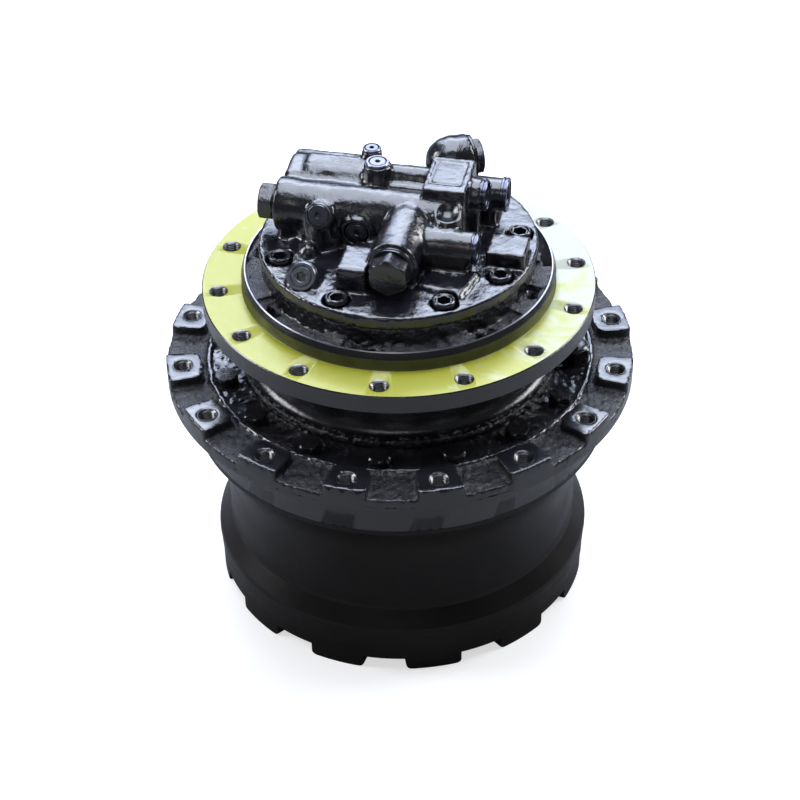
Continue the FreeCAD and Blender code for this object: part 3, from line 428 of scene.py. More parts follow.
# Puts a copy of one part on each point, turned to the point's own direction and spun by chance.
def partsTree():
    tree = bpy.data.node_groups.new("partsAtPoints", "GeometryNodeTree")
    face = tree.interface
    face.new_socket("Geometry", in_out="INPUT", socket_type="NodeSocketGeometry")
    part = face.new_socket("Part", in_out="INPUT", socket_type="NodeSocketObject")
    spin = face.new_socket("Spin", in_out="INPUT", socket_type="NodeSocketFloat")
    size = face.new_socket("Size", in_out="INPUT", socket_type="NodeSocketFloat")
    finish = face.new_socket("Finish", in_out="INPUT", socket_type="NodeSocketMaterial")
    face.new_socket("Geometry", in_out="OUTPUT", socket_type="NodeSocketGeometry")
    make, link = tree.nodes.new, tree.links.new
    start, end = make("NodeGroupInput"), make("NodeGroupOutput")
    info = make("GeometryNodeObjectInfo")
    direction = make("GeometryNodeInputNamedAttribute")
    direction.data_type = "FLOAT_VECTOR"
    direction.inputs["Name"].default_value = "direction"
    align = make("FunctionNodeAlignRotationToVector")
    align.axis = "Z"
    chance = make("FunctionNodeRandomValue")
    chance.data_type = "FLOAT"
    chance.inputs["Seed"].default_value = 11
    scaled = make("ShaderNodeMath")
    scaled.operation = "MULTIPLY"
    turn = make("FunctionNodeAxisAngleToRotation")
    both = make("FunctionNodeRotateRotation")
    both.rotation_space = "LOCAL"
    copies = make("GeometryNodeInstanceOnPoints")
    real = make("GeometryNodeRealizeInstances")
    colour = make("GeometryNodeSetMaterial")
    link(start.outputs["Part"], info.inputs["Object"])
    link(direction.outputs["Attribute"], align.inputs["Vector"])
    link(chance.outputs[1], scaled.inputs[0])
    link(start.outputs["Spin"], scaled.inputs[1])
    link(scaled.outputs[0], turn.inputs["Angle"])
    link(align.outputs[0], both.inputs["Rotation"])
    link(turn.outputs[0], both.inputs["Rotate By"])
    link(start.outputs["Geometry"], copies.inputs["Points"])
    link(info.outputs["Geometry"], copies.inputs["Instance"])
    link(both.outputs[0], copies.inputs["Rotation"])
    link(start.outputs["Size"], copies.inputs["Scale"])
    link(copies.outputs["Instances"], real.inputs["Geometry"])
    link(real.outputs["Geometry"], colour.inputs["Geometry"])
    link(start.outputs["Finish"], colour.inputs["Material"])
    link(colour.outputs["Geometry"], end.inputs["Geometry"])
    return tree, {"Part": part.identifier, "Spin": spin.identifier, "Size": size.identifier,
                  "Finish": finish.identifier}


partsNodes, partsInputs = partsTree()


# Copies of part at (point, direction) places, as one plain mesh.
def repeat(name, part, places, material, spin=0.0, size=1.0):
    mesh = bpy.data.meshes.new(name)
    mesh.from_pydata([tuple(p) for p, d in places], [], [])
    field = mesh.attributes.new("direction", "FLOAT_VECTOR", "POINT")
    for item, (p, d) in zip(field.data, places):
        item.vector = tuple(d)
    obj = newObject(name, mesh)
    maker = obj.modifiers.new("copies", "NODES")
    maker.node_group = partsNodes
    for key, value in (("Part", part), ("Spin", spin), ("Size", size), ("Finish", material)):
        maker[partsInputs[key]] = value
    settled(obj)
    for extra in [a.name for a in obj.data.attributes if a.name == "direction"]:
        obj.data.attributes.remove(obj.data.attributes[extra])
    old = part.data
    bpy.data.objects.remove(part)
    bpy.data.meshes.remove(old)
    soften(obj.data)
    return obj


# Hexagon with its top corners turned down and its edges just broken.
def prism(name, flats, low, high, corner=1.2, place=None):
    bm = bmesh.new()
    r = flats / math.sqrt(3)
    rings = [(r, low, 0), (r, high - 1.6, 0), (r - 0.5, high - 1.0, 1), (flats / 2 - 0.3, high, 2)]
    loops = []
    sides = 60
    for radius, z, kind in rings:
        loop = []
        for k in range(sides):
            a = 2 * math.pi * k / sides
            wall = (flats / 2) / max(1e-6, math.cos((a + math.pi / 6) % (math.pi / 3) - math.pi / 6))
            wall = min(wall, r - corner * 0.35)
            if kind == 1:
                wall = min(wall, r - corner)
            if kind == 2:
                wall = min(wall, radius)
            loop.append(bm.verts.new((wall * math.cos(a), wall * math.sin(a), z)))
        loops.append(loop)
    for a, b in zip(loops, loops[1:]):
        for k in range(sides):
            bm.faces.new((a[k], a[(k + 1) % sides], b[(k + 1) % sides], b[k]))
    bm.faces.new(loops[0][::-1])
    bm.faces.new(loops[-1])
    bmesh.ops.scale(bm, vec=(mm, mm, mm), verts=bm.verts)
    bmesh.ops.recalc_face_normals(bm, faces=bm.faces)
    if place is not None:
        bmesh.ops.transform(bm, matrix=place, verts=bm.verts)
    mesh = bpy.data.meshes.new(name)
    bm.to_mesh(mesh)
    bm.free()
    soften(mesh)
    return newObject(name, mesh)


# Round head with a hexagon socket, seated on z = 0.
def socketHead(name, r, h, flats, deep, shank=None, shankLen=20.0, dish=0.0):
    base = shank if shank else r - 1
    turned = [(0, -shankLen), (base, -shankLen), (base, 0), (r - 0.3, 0), (r, 0.5), (r, h - 1.4),
              (r - 0.4, h - 0.6), (r - 1.3, h), (flats * 0.62 + dish, h),
              (flats * 0.58, h - 0.4 - dish * 0.6),
              (0, h - 0.4 - dish * 0.6)]
    head = lathe(name, turned, 48)
    return bored(head, [prism("socket", flats, h - deep, h + 3, corner=0.1)])


# Thread ridge on the wall of a bore, from z = 0 down, with its crest pointing inward.
def coil(name, r, pitch, length, depth):
    bm = bmesh.new()
    steps = 40
    ridge = ((0.15, pitch * 0.46), (-depth, pitch * 0.06), (-depth, -pitch * 0.06), (0.15, -pitch * 0.46))
    total = int(length / pitch * steps)
    rows = []
    for k in range(total + 1):
        a = 2 * math.pi * k / steps
        z = -length * k / total
        row = [bm.verts.new(((r + out) * math.cos(a), (r + out) * math.sin(a), z + up))
               for out, up in ridge]
        rows.append(row)
    for a, b in zip(rows, rows[1:]):
        for j in range(4):
            bm.faces.new((a[j], a[(j + 1) % 4], b[(j + 1) % 4], b[j]))
    bm.faces.new(rows[0])
    bm.faces.new(rows[-1][::-1])
    bmesh.ops.scale(bm, vec=(mm, mm, mm), verts=bm.verts)
    bmesh.ops.recalc_face_normals(bm, faces=bm.faces)
    mesh = bpy.data.meshes.new(name)
    bm.to_mesh(mesh)
    bm.free()
    return newObject(name, mesh)

# Materials.


def blank(name):
    mat = bpy.data.materials.new(name)
    mat.use_nodes = True
    return mat, mat.node_tree, mat.node_tree.nodes["Principled BSDF"]


def noise(tree, where, scale, detail=3.0, rough=0.5, warp=0.0):
    return shade(tree, "TexNoise", {"Vector": where, "Scale": scale, "Detail": detail, "Roughness": rough,
                                    "Distortion": warp}).outputs["Fac"]


# Colour or grey stops: a list of (place, colour or number).
def ramp(tree, value, stops):
    node = shade(tree, "ValToRGB", {"Fac": value})
    bar = node.color_ramp
    while len(bar.elements) < len(stops):
        bar.elements.new(0.5)
    for stop, (place, tone) in zip(bar.elements, stops):
        stop.position = place
        stop.color = (tone, tone, tone, 1) if isinstance(tone, (int, float)) else (*tone, 1)
    return node.outputs["Color"]


def bump(tree, height, depth, under=None, strength=1.0):
    inputs = {"Height": height, "Distance": depth, "Strength": strength}
    if under is not None:
        inputs["Normal"] = under
    return shade(tree, "Bump", inputs).outputs["Normal"]


# Gloss paint on iron: settings give its tone, sheen and how rough the iron under it was cast.
def paint(name, settings):
    mat, tree, shader = blank(name)
    where = shade(tree, "TexCoord").outputs["Object"]
    tone = noise(tree, where, settings["blotch"], 4.0, 0.6)
    colour = ramp(tree, tone, [(0.3, settings["dark"]), (0.75, settings["light"])])
    tree.links.new(colour, shader.inputs["Base Color"])
    sheen = noise(tree, where, settings["blotch"] * 2.3, 3.0)
    tree.links.new(ramp(tree, sheen, [(0.25, settings["gloss"][0]), (0.8, settings["gloss"][1])]),
                   shader.inputs["Roughness"])
    shader.inputs["Specular IOR Level"].default_value = settings["specular"]
    grain = noise(tree, where, settings["grain"], 4.0, 0.62)
    skinned = bump(tree, grain, settings["grainDepth"])
    peel = noise(tree, where, settings["peel"], 2.0)
    tree.links.new(bump(tree, peel, settings["peelDepth"], skinned), shader.inputs["Normal"])
    return mat


paints = {
    "headPaint": {"dark": (0.004, 0.004, 0.006), "light": (0.012, 0.012, 0.017), "blotch": 22.0,
                  "gloss": (0.1, 0.24), "specular": 1.0, "grain": 520.0, "grainDepth": 0.00022,
                  "peel": 150.0, "peelDepth": 0.0005},
    "casePaint": {"dark": (0.004, 0.004, 0.005), "light": (0.012, 0.011, 0.012), "blotch": 18.0,
                  "gloss": (0.13, 0.3), "specular": 0.85, "grain": 420.0, "grainDepth": 0.00025,
                  "peel": 90.0, "peelDepth": 0.0005},
    "barrelPaint": {"dark": (0.006, 0.0045, 0.0045), "light": (0.013, 0.010, 0.009), "blotch": 9.0,
                    "gloss": (0.3, 0.42), "specular": 0.22, "grain": 300.0, "grainDepth": 0.00012,
                    "peel": 60.0, "peelDepth": 0.0002},
}


def metal(name, tone, gloss, scale=260.0):
    mat, tree, shader = blank(name)
    where = shade(tree, "TexCoord").outputs["Object"]
    cloud = noise(tree, where, 30.0, 3.0)
    dark = tuple(c * 0.75 for c in tone)
    tree.links.new(ramp(tree, cloud, [(0.3, dark), (0.7, tone)]), shader.inputs["Base Color"])
    shader.inputs["Metallic"].default_value = 1.0
    fine = noise(tree, where, scale, 2.0)
    sheen = ramp(tree, fine, [(0.2, gloss * 0.8), (0.8, min(1.0, gloss * 1.3))])
    tree.links.new(sheen, shader.inputs["Roughness"])
    tree.links.new(bump(tree, fine, 0.00008), shader.inputs["Normal"])
    return mat


for name, settings in paints.items():
    settings["material"] = paint(name, settings)


def dress(obj, mat):
    obj.data.materials.clear()
    obj.data.materials.append(mat)


finish = {"case_casting": paints["casePaint"]["material"], "head_casting": paints["headPaint"]["material"],
          "hub_casting": paints["casePaint"]["material"], "gear_case": paints["barrelPaint"]["material"],
          "cover_casting": paints["barrelPaint"]["material"], "black_screws": paints["headPaint"]["material"],
          "hub_fasteners": paints["casePaint"]["material"], "cap_steel": paints["headPaint"]["material"],
          "plug_steel": metal("plugSteel", (0.1, 0.1, 0.12), 0.35),
          "bearing_steel": metal("groundSteel", (0.6, 0.6, 0.6), 0.15)}
plainSteel = metal("oiledSteel", (0.45, 0.45, 0.46), 0.3)
for part in frame["record"]["subparts"]:
    dress(nodes[part["node"]], finish.get(part["material_slot"], plainSteel))
print("materials on the solids")

# Valve head casting.

head = {
    "step": 1.5, "joint": 37.0, "top": 52.0, "r": 153.0,
    "screwAngles": (-164.0, -119.5, -69.5, -36.0, 2.0, 42.0, 78.0, 114.0, 152.0),
    "screwCircle": 133.5, "spotR": 15.0, "spotDepth": 11.5,
    "spoolY": -4.0, "spoolZ": 84.0, "spoolR": 28.0,
    "relief": (15.0, 80.0), "rearStart": (38.0, 95.0, 98.0), "rearEnd": (56.8, 105.9, 98.0),
    "portA": (112.0, 56.0, 86.0), "portB": (95.0, 22.0, 104.0), "drain": (98.0, -46.0, 79.0),
    "portR": 13.0, "wave": 0.26,
}


# A place given along the head's own axes, in metres of the whole drive.
def headPoint(x, y, z):
    c, s = math.cos(headTurn), math.sin(headTurn)
    return Vector(((x * c - y * s) * mm, (x * s + y * c) * mm, z * mm))


# A place on a circle round the drive axis, along the head's own axes.
def unturned(r, deg):
    a = math.radians(deg) - headTurn
    return r * math.cos(a), r * math.sin(a)


def headCasting():
    f = newField((-163, -163, 28), (163, 163, 134), head["step"])
    top, low = head["top"], head["joint"]
    y0, z0, r0 = head["spoolY"], head["spoolZ"], head["spoolR"]
    rod(f, (0, 0, low), (0, 0, top), head["r"], edge=1.6, soft=0)
    # counterbalance housing with its thicker left end
    rod(f, (-131, y0, z0), (74, y0, z0), r0, edge=3, soft=6)
    rod(f, (-133, y0, z0), (-113, y0, z0), r0 + 1.2, edge=3.5, soft=2)
    slab(f, (-128, y0 - 25, low + 3), (70, 46, z0), 5, 7, draft=0.03)
    # control body behind it, with a long sloped face and a flat back
    slab(f, (-133, 18, low + 3), (-46, 80, 103), 6, 6, slope=0.1)
    slab(f, (-134, 26, 70), (-96, 66, 105), 6, 5, slope=0.14)
    slab(f, (-116, 30, 70), (-40, 64, 110), 8, 5, slope=0.2)
    slab(f, (-50, 22, low + 4), (30, 40, 103), 5, 3.5)
    slab(f, (-46, 36, low + 3), (34, 58, 98), 6, 5)
    rod(f, (-44, 46, 102), (34, 46, 102), 12.5, edge=3, soft=5)
    rod(f, (-30, 36, 66), (-30, 36, 121), 17.2, 15.2, edge=2.0, soft=5)
    rod(f, (-44, 68, 66), (-44, 68, 119), 13.5, 11.2, edge=2.0, soft=6)
    # pilot boss and the stem that carries it
    rod(f, (-79, -18, 78), (-78, -38, 95), 18.5, 15.5, edge=2.5, soft=6)
    rod(f, (-79, -30, low + 3), (-79, -30, 78), 15.5, 14.2, edge=3, soft=6)
    slab(f, (-104, -34, low + 3), (-58, 4, 70), 7, 7)
    ball(f, (-88, -52, 56), 10, soft=6)
    rod(f, (-80, -86, 44), (-80, -109, 62), 19, 17.4, edge=2.4, soft=6)
    # walled recess with a plug in it
    rod(f, (-38, y0, 76), (-38, -37, 76), 21, 17, edge=2.5, soft=6)
    slab(f, (-44, -113, low + 2), (-9, -62, 80), 3.5, 4, draft=0.03)
    slab(f, (-40, -70, low + 3), (-4, -22, 68), 6, 6)
    # relief valve body: a long tapered nose that dies into the housing
    rx, rz = head["relief"]
    rod(f, (rx, -95, rz), (rx, -58, rz), 26.6, edge=1.5, soft=4)
    rod(f, (rx, -66, rz), (rx + 3, -26, rz + 6), 26.8, 25.6, edge=3, soft=3)
    rod(f, (rx + 2, -30, rz + 6), (rx + 8, 6, rz + 13), 25.4, 15.5, edge=7, soft=3)
    slab(f, (rx - 23, -92, low + 2), (rx + 24, -14, rz), 5, 6, draft=0.02)
    # block with the bare plate frame on top
    slab(f, (28, y0 - 6, low + 3), (76, 58, 125), 3.0, 4, slope=0.02)
    slab(f, (30, 40, low + 3), (70, 84, 104), 8, 8)
    rod(f, (60, -26, low + 3), (60, -26, 104), 14.6, edge=2.4, soft=5)
    ball(f, (60, -26, 114), 14.5, soft=2.5, cut=True)
    # bodies of the three hose ports
    ax, ay, az = head["portA"]
    rod(f, (58, ay, az), (ax - 4, ay, az), 18, edge=2, soft=6)
    slab(f, (60, ay - 15, low + 3), (ax - 12, ay + 15, az), 5, 6)
    bx, by, bz = head["portB"]
    rod(f, (56, by, bz), (bx - 6, by, bz), 18.4, edge=2, soft=5)
    slab(f, (60, by - 14, low + 3), (bx - 8, by + 14, bz), 5, 6)
    dx, dy, dz = head["drain"]
    rod(f, (18, dy, dz), (dx - 5, dy, dz), 18.6, edge=2, soft=7)
    slab(f, (20, dy - 17.5, low + 3), (dx - 10, dy + 18, dz), 4, 6)
    # rear relief body under its dome
    ball(f, head["rearStart"], 26.8, soft=6)
    rod(f, head["rearStart"], head["rearEnd"], 26.8, edge=2, soft=4)
    rod(f, (38, 95, low + 3), (38, 95, 96), 21, edge=3, soft=6)
    slab(f, (8, 56, low + 3), (50, 96, 84), 9, 8)
    slab(f, (103, -36, low + 2), (146, 4, 70), 2.5, 3.5, turn=0)
    slab(f, (70, 30, 80), (92, 50, 111), 5, 4)
    slab(f, (46, -100, low + 3), (96, -50, top + 6), 4, 6, turn=-14)
    slab(f, (-112, -66, low + 3), (-88, -20, top + 4), 5, 6)
    ripple(f, 11.0, head["wave"], 5)
    ripple(f, 26.0, head["wave"] * 0.8, 8)
    # nothing stands past the round joint or below it
    x, y, z = axesOf(f)
    ring = np.sqrt(x * x + y * y)
    f["values"] = np.maximum(f["values"], low - z)
    side = np.where(z < top + 1.5, ring - head["r"], ring - head["r"] - 37)
    f["values"] = np.maximum(f["values"], side)
    # machined seats, bores and ports
    for deg in head["screwAngles"]:
        px, py = unturned(head["screwCircle"], deg)
        seat = (px, py, top - head["spotDepth"])
        rod(f, seat, (px, py, top + 16), head["spotR"], edge=0.8, soft=0.8, cut=True)
    rod(f, (0, 0, low - 4), (0, 0, low + 14), 22, edge=0, soft=0, cut=True)
    for (px, py, pz), deep in ((head["portA"], 25), (head["portB"], 25), (head["drain"], 25)):
        rod(f, (px - deep, py, pz), (px + 3, py, pz), head["portR"] + 0.6, edge=0, soft=0.3, cut=True)
    rod(f, (-38, -39, 76), (-38, -30, 76), 13.6, edge=0, soft=1, cut=True)
    # shallow frame round the bare plate
    slab(f, (33, 3, 123.6), (69, 51, 127), 0.4, 0.6, cut=True, slope=0.02)
    slab(f, (36, 6, 121), (66, 48, 124.5), 0.4, 0.8, slope=0.02)
    obj = skin(f, "headCasting", headTurn, 0.06)
    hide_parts("valve_head")
    dress(obj, paints["headPaint"]["material"])
    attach(obj, "case")
    print("valve head casting:", len(obj.data.polygons), "faces")
    return obj


headCasting()

# Seats, plugs and caps on the head.

threadSteel = metal("threadSteel", (0.2, 0.2, 0.2), 0.3)
plugMetal = metal("plugMetal", (0.2, 0.205, 0.24), 0.3)
black = paints["headPaint"]["material"]

headPlugs = {
    # name: (node, seat, direction, plug radius, seat radius, socket, rise)
    "controlPlug": ("control_plug", (-30.0, 36.0, 121.0), (0, 0, 1), 9.0, 13.2, 5.5, 3.4),
    "bleedPlug": ("bleed_plug", (-44.0, 68.0, 119.0), (0, 0, 1), 7.4, 10.4, 5.0, 2.4),
    "pilotPlug": ("pilot_plug", (-78.0, -40.0, 97.0), (0, -28, 11), 11.4, 13.4, 6.0, 3.4),
    "lowerPlug": ("drain_plug_upper", (-80.0, -109.0, 62.0), (0, -17, 16), 10.6, 15.6, 10.0, 3.6),
    "recessPlug": ("test_plug", (-38.0, -32.0, 76.0), (0, -1, 0), 9.6, 12.6, 6.0, 3.0),
}


def headAim(seat, direction):
    start = headPoint(*seat)
    return aim(start, headPoint(*direction) - headPoint(0, 0, 0))


def plug(name, node, seat, direction, r, seatR, socket, rise):
    turned = [(0, -9), (seatR - 2.5, -9), (seatR - 0.8, -1), (seatR, 0.6), (seatR, rise - 1.0),
              (seatR - 0.9, rise), (r + 1.3, rise), (r + 1.1, rise - 2.4), (r + 0.1, rise - 2.4),
              (r, rise - 0.5), (r - 0.6, rise),
              (socket * 0.62, rise), (socket * 0.56, rise - 0.5), (0, rise - 0.5)]
    obj = lathe(name, turned, 56, place=None)
    bored(obj, [prism("socket", socket, rise - 5.5, rise + 3, corner=0.1)])
    obj.data.transform(headAim(seat, direction))
    dress(obj, plugMetal)
    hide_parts(node)
    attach(obj, "case")


for name, settings in headPlugs.items():
    plug(name, *settings)

hexCaps = {
    # name: (node, seat, direction, flats, height, collar radius, collar height)
    "spoolCap": ("spool_cap_left", (-133.0, -4.0, 84.0), (-1, 0, 0), 38.0, 15.0, 20.4, 4.0),
    "reliefCap": ("relief_cap_front", (15.0, -96.0, 80.0), (0, -1, 0), 39.0, 19.0, 23.6, 6.0),
    "rearCap": ("relief_cap_rear", (56.8, 105.9, 98.0), (18.8, 10.9, 0), 38.0, 9.0, 25.4, 5.0),
}


def hexCap(name, node, seat, direction, flats, high, collarR, collar):
    low = [(0, -12), (14, -12), (14, -0.2), (collarR - 0.8, -0.2), (collarR, 0.6), (collarR, collar * 0.42),
           (collarR - 1.4, collar * 0.5), (collarR - 1.4, collar * 0.62), (collarR - 0.5, collar * 0.7),
           (collarR - 0.5, collar - 0.5), (collarR - 1.2, collar), (0, collar)]
    place = headAim(seat, direction)
    base = lathe(name + "Base", low, 72)
    top = prism(name + "Hex", flats, 0, high, corner=1.6, place=Matrix.Translation((0, 0, collar * mm)))
    obj = joined(name, [base, top])
    obj.data.transform(place)
    dress(obj, black)
    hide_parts(node)
    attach(obj, "case")


for name, settings in hexCaps.items():
    hexCap(name, *settings)


def portRings():
    made = []
    for place, r in ((head["portA"], 19.4), (head["portB"], 16.9), (head["drain"], 17.8)):
        bore = head["portR"]
        turned = [(bore, -22), (r - 3.2, -22), (r - 2.4, -8), (r - 0.6, -7.4), (r, -6.8), (r, -4.6),
                  (r - 1.6, -4.2),
                  (r - 1.6, -3.2), (r - 0.1, -2.8), (r - 0.1, -0.7), (r - 0.8, 0), (bore + 2.9, 0),
                  (bore + 2.6, -0.9), (bore + 1.4, -1.2), (bore, -2.6)]
        ring1 = lathe("portRing", turned, 80)
        thread = coil("portThread", bore, 1.8, 14, 1.0)
        thread.data.transform(Matrix.Translation((0, 0, -2.2 * mm)))
        floor = lathe("portFloor", [(0, -21), (bore + 1, -21), (bore + 1, -19), (0, -19)], 40)
        for obj in (ring1, thread, floor):
            obj.data.transform(headAim(place, (1, 0, 0)))
            made.append(obj)
    obj = joined("portRings", made)
    dress(obj, metal("portMetal", (0.11, 0.115, 0.15), 0.24))
    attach(obj, "case")


portRings()

screwPart = socketHead("screwPart", 12.0, 16.0, 14.0, 9.0, shank=8.0, shankLen=20.0, dish=1.6)
screwPlaces = [(onCircle(head["screwCircle"], deg, head["top"] - head["spotDepth"]), (0, 0, 1))
               for deg in head["screwAngles"]]
screws = repeat("headScrews", screwPart, screwPlaces, black, spin=6.28)
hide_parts("head_screws")
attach(screws, "case")
print("head plugs, caps, ports and screws")

# Motor case: frame flange, threaded holes, cast recess under the head.

case = {
    "flangeR": 218.4, "under": -22.0, "pilotR": 174.0, "neckR": 167.0, "cavityR": 96.0,
    "boltR": 200.0, "bolts": 14, "firstBolt": 32.2, "tapR": 8.75, "mouthR": 10.6, "split": -50.0,
    "wallR": 144.5, "floor": 15.2, "rib": 19.7, "pocketR": 157.4, "pocketHalf": 7.0, "shelf": 13.2,
    "deep": 6.0, "step": 1.35,
}

# painted highlight: the clear and pale stops stand in for glare on the coated face; middle and yellow are the
# coat's own colour
coated = {"clear": (0.36, 0.37, 0.31), "pale": (0.36, 0.37, 0.22), "middle": (0.33, 0.34, 0.1),
          "yellow": (0.3, 0.3, 0.02)}


def coatedSteel():
    mat, tree, shader = blank("coatedSteel")
    where = shade(tree, "TexCoord").outputs["Object"]
    parts = shade(tree, "SeparateXYZ", {0: where})
    # painted highlight: the coat's colour stays yellow toward the front and the left and is painted pale
    # toward the back right, where glare falls; the cloud adds random tone
    lean = shade(tree, "Math", {0: parts.outputs["X"], 1: -2.2}, operation="MULTIPLY")
    front = shade(tree, "Math", {0: parts.outputs["Y"], 1: -1.5}, operation="MULTIPLY")
    both = shade(tree, "Math", {0: lean.outputs[0], 1: front.outputs[0]}, operation="ADD")
    cloud = noise(tree, where, 14.0, 4.0, 0.6, 1.2)
    spread = shade(tree, "Math", {0: cloud, 1: 1.9}, operation="MULTIPLY")
    total = shade(tree, "Math", {0: both.outputs[0], 1: spread.outputs[0]}, operation="ADD")
    coatAndGlare = ramp(tree, total.outputs[0], [(0.55, coated["clear"]), (0.72, coated["pale"]),
                                          (0.86, coated["middle"]), (1.0, coated["yellow"])])
    tree.links.new(coatAndGlare, shader.inputs["Base Color"])
    fine = noise(tree, where, 130.0, 3.0)
    tree.links.new(ramp(tree, fine, [(0.25, 0.3), (0.75, 0.46)]), shader.inputs["Roughness"])
    shader.inputs["Metallic"].default_value = 0.1
    shader.inputs["Coat Weight"].default_value = 0.2
    shader.inputs["Coat Roughness"].default_value = 0.2
    tree.links.new(bump(tree, fine, 0.00012), shader.inputs["Normal"])
    return mat


waxed = coatedSteel()
olive = metal("oliveWall", (0.16, 0.17, 0.07), 0.4)
rough = paint("roughCast", {"dark": (0.006, 0.006, 0.008), "light": (0.045, 0.045, 0.055), "blotch": 60.0,
                            "gloss": (0.1, 0.24), "specular": 1.0, "grain": 360.0, "grainDepth": 0.0026,
                            "peel": 120.0, "peelDepth": 0.0015})
rimMetal = metal("rimMetal", (0.5, 0.5, 0.56), 0.3)
casePaint = paints["casePaint"]["material"]
caseSet = [casePaint, waxed, threadSteel, rough, olive, rimMetal]


# Gives each face the material that choose(centre, normal) names by number.
def fitted(obj, materials, choose):
    obj.data.materials.clear()
    for mat in materials:
        obj.data.materials.append(mat)
    for face in obj.data.polygons:
        face.material_index = choose(face.center / mm, face.normal)
    return obj


# The solid's own mesh below a height, closed.
def lowerHalf(node, name, above):
    obj = newObject(name, nodes[node].data.copy())
    box = slabMesh("above", (-400, -400, above), (400, 400, 400))
    return bored(obj, [box])


def slabMesh(name, low, high):
    bm = bmesh.new()
    bmesh.ops.create_cube(bm, size=1.0)
    for v in bm.verts:
        v.co = Vector([(low[k] + (high[k] - low[k]) * (v.co[k] + 0.5)) * mm for k in range(3)])
    mesh = bpy.data.meshes.new(name)
    bm.to_mesh(mesh)
    bm.free()
    return newObject(name, mesh)


# Cutters for a circle of threaded holes with countersunk mouths.
def tapped(count, first, r, top, bottom, tapR, mouthR):
    made = []
    for k in range(count):
        turned = [(0, bottom - 3), (tapR, bottom - 3), (tapR, top - (mouthR - tapR)), (mouthR, top),
                  (mouthR + 3, top + 3), (0, top + 3)]
        obj = lathe("tapCut", turned, 40)
        obj.data.transform(Matrix.Translation(onCircle(r, first + k * 360 / count, 0)))
        made.append(obj)
    return made


def threads(name, count, first, r, top, length, tapR, pitch, body):
    ridge = coil("ridge", tapR + 0.1, pitch, length, 1.15)
    places = [(onCircle(r, first + k * 360 / count, top), (0, 0, 1)) for k in range(count)]
    obj = repeat(name, ridge, places, threadSteel, spin=0.0)
    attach(obj, body)
    return obj


def recessRing():
    f = newField((-173, -173, 2), (173, 173, 38.5), case["step"])
    ring(f, case["wallR"], 169.2, 0, case["floor"], edge=0.5, soft=0)
    ring(f, 119, 149.6, 0, 37.4, edge=0.8, soft=3.5)
    for deg in head["screwAngles"]:
        x, y = [v / mm for v in onCircle(133.5, deg, 0)[:2]]
        rod(f, (x, y, 0), (x, y, 36.8), 16.6, 16.2, edge=1, soft=3)
        wedge(f, deg + 3.0, 4.6, 140, 169, 4, case["rib"], edge=1.5, soft=2.4)
    ordered = sorted(head["screwAngles"])
    for k, first in enumerate(ordered):
        second = (ordered + [ordered[0] + 360])[k + 1]
        arcSlot(f, case["pocketR"], case["pocketHalf"] - 1.5 * (k % 2), first + 12.5, second - 9.0,
                case["shelf"], 30, soft=3.0)
        arcSlot(f, case["pocketR"], case["pocketHalf"] - 2.0, first + 12.5, first + 18.0,
                case["deep"], 30, soft=3.0)
    # flush shelf and the long slot behind it on the right, and the round machined spot
    wedge(f, -11.5, 7.5, 150, 169, 4, case["rib"] + 0.3, edge=3, soft=2.5)
    arcSlot(f, 163.5, 5.2, -1.0, 25.0, -2, 30, soft=1.5)
    ripple(f, 6.5, 0.75, 21)
    ripple(f, 15.0, 0.8, 22)
    x, y = [v / mm for v in onCircle(178, -22.0, 0)[:2]]
    rod(f, (x, y, 0), (x, y, 18.4), 15.6, edge=0.4, soft=0.6)
    rod(f, (x, y, 18.0), (x, y, 30), 14.9, edge=0, soft=0, cut=True)
    px, py, pz = axesOf(f)
    away = np.sqrt(px * px + py * py)
    f["values"] = np.maximum(f["values"], np.maximum(away - 169.6, 118 - away))
    f["values"] = np.maximum(f["values"], pz - 37.0)
    return skin(f, "recessRing", 0, 0.05)


# Torn cast edge of the skirt over the hub.
def lipRing():
    f = newField((-184, -184, -101), (184, 184, -84), 1.6)
    ring(f, 168, 179.2, -98.4, -88.2, edge=1.6, soft=0)
    ring(f, 178.0, 180.4, -94.5, -91.0, edge=0.8, soft=2.0)
    ripple(f, 5.0, 0.75, 31)
    ripple(f, 12.0, 0.6, 32)
    return skin(f, "lipRing", 0, 0.05)


def motorCase():
    c = case
    edge, pilot, under = c["flangeR"], c["pilotR"], c["under"]
    turned = [(c["cavityR"], c["split"] - 1), (c["neckR"], c["split"] - 1), (c["neckR"], -28), (168.8, -23.8),
              (173, under), (edge - 1.0, under), (edge, under + 1), (edge, -1.1), (edge - 1.1, 0), (200, 0),
              (pilot + 0.6, 0), (pilot, 0.5), (pilot, 13.6), (172.9, 15.4), (171.0, 20.6), (170.3, 21.4),
              (169.4, 21.3), (168.8, 20.2), (168.6, 8), (150, 8), (150, 6), (c["cavityR"], 6)]
    top = lathe("caseTop", turned, 288)
    bored(top, tapped(c["bolts"], c["firstBolt"], c["boltR"], 0, under, c["tapR"], c["mouthR"]))

    def where(p, n):
        r = math.hypot(p.x, p.y)
        if -21 < p.z < 0.3 and 187 < r < 213 and n.z < 0.9:
            return 2
        if n.z > 0.9 and 173.5 < r and abs(p.z) < 0.2:
            return 1
        if 173.5 < r < 174.6 and p.z > 0.1:
            return 4
        if 168.5 < r < 173 and p.z > 19.9:
            return 5
        return 0

    fitted(top, caseSet, where)
    low = fitted(lowerHalf("motor_case", "caseLow", c["split"]), caseSet, lambda p, n: 0)
    recess = fitted(recessRing(), caseSet, lambda p, n: 3 if math.hypot(p.x, p.y) > 150.5 else 0)
    lip = fitted(lipRing(), caseSet, lambda p, n: 3)
    inner = lathe("caseThroat", [(c["cavityR"], 5), (121, 5), (121, 36.9), (c["cavityR"], 36.9)], 128)
    fitted(inner, caseSet, lambda p, n: 0)
    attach(recess, "case")
    obj = joined("motorCase", [top, low, lip, inner])
    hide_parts("motor_case")
    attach(obj, "case")
    print("motor case:", len(obj.data.polygons), "faces, recess", len(recess.data.polygons))


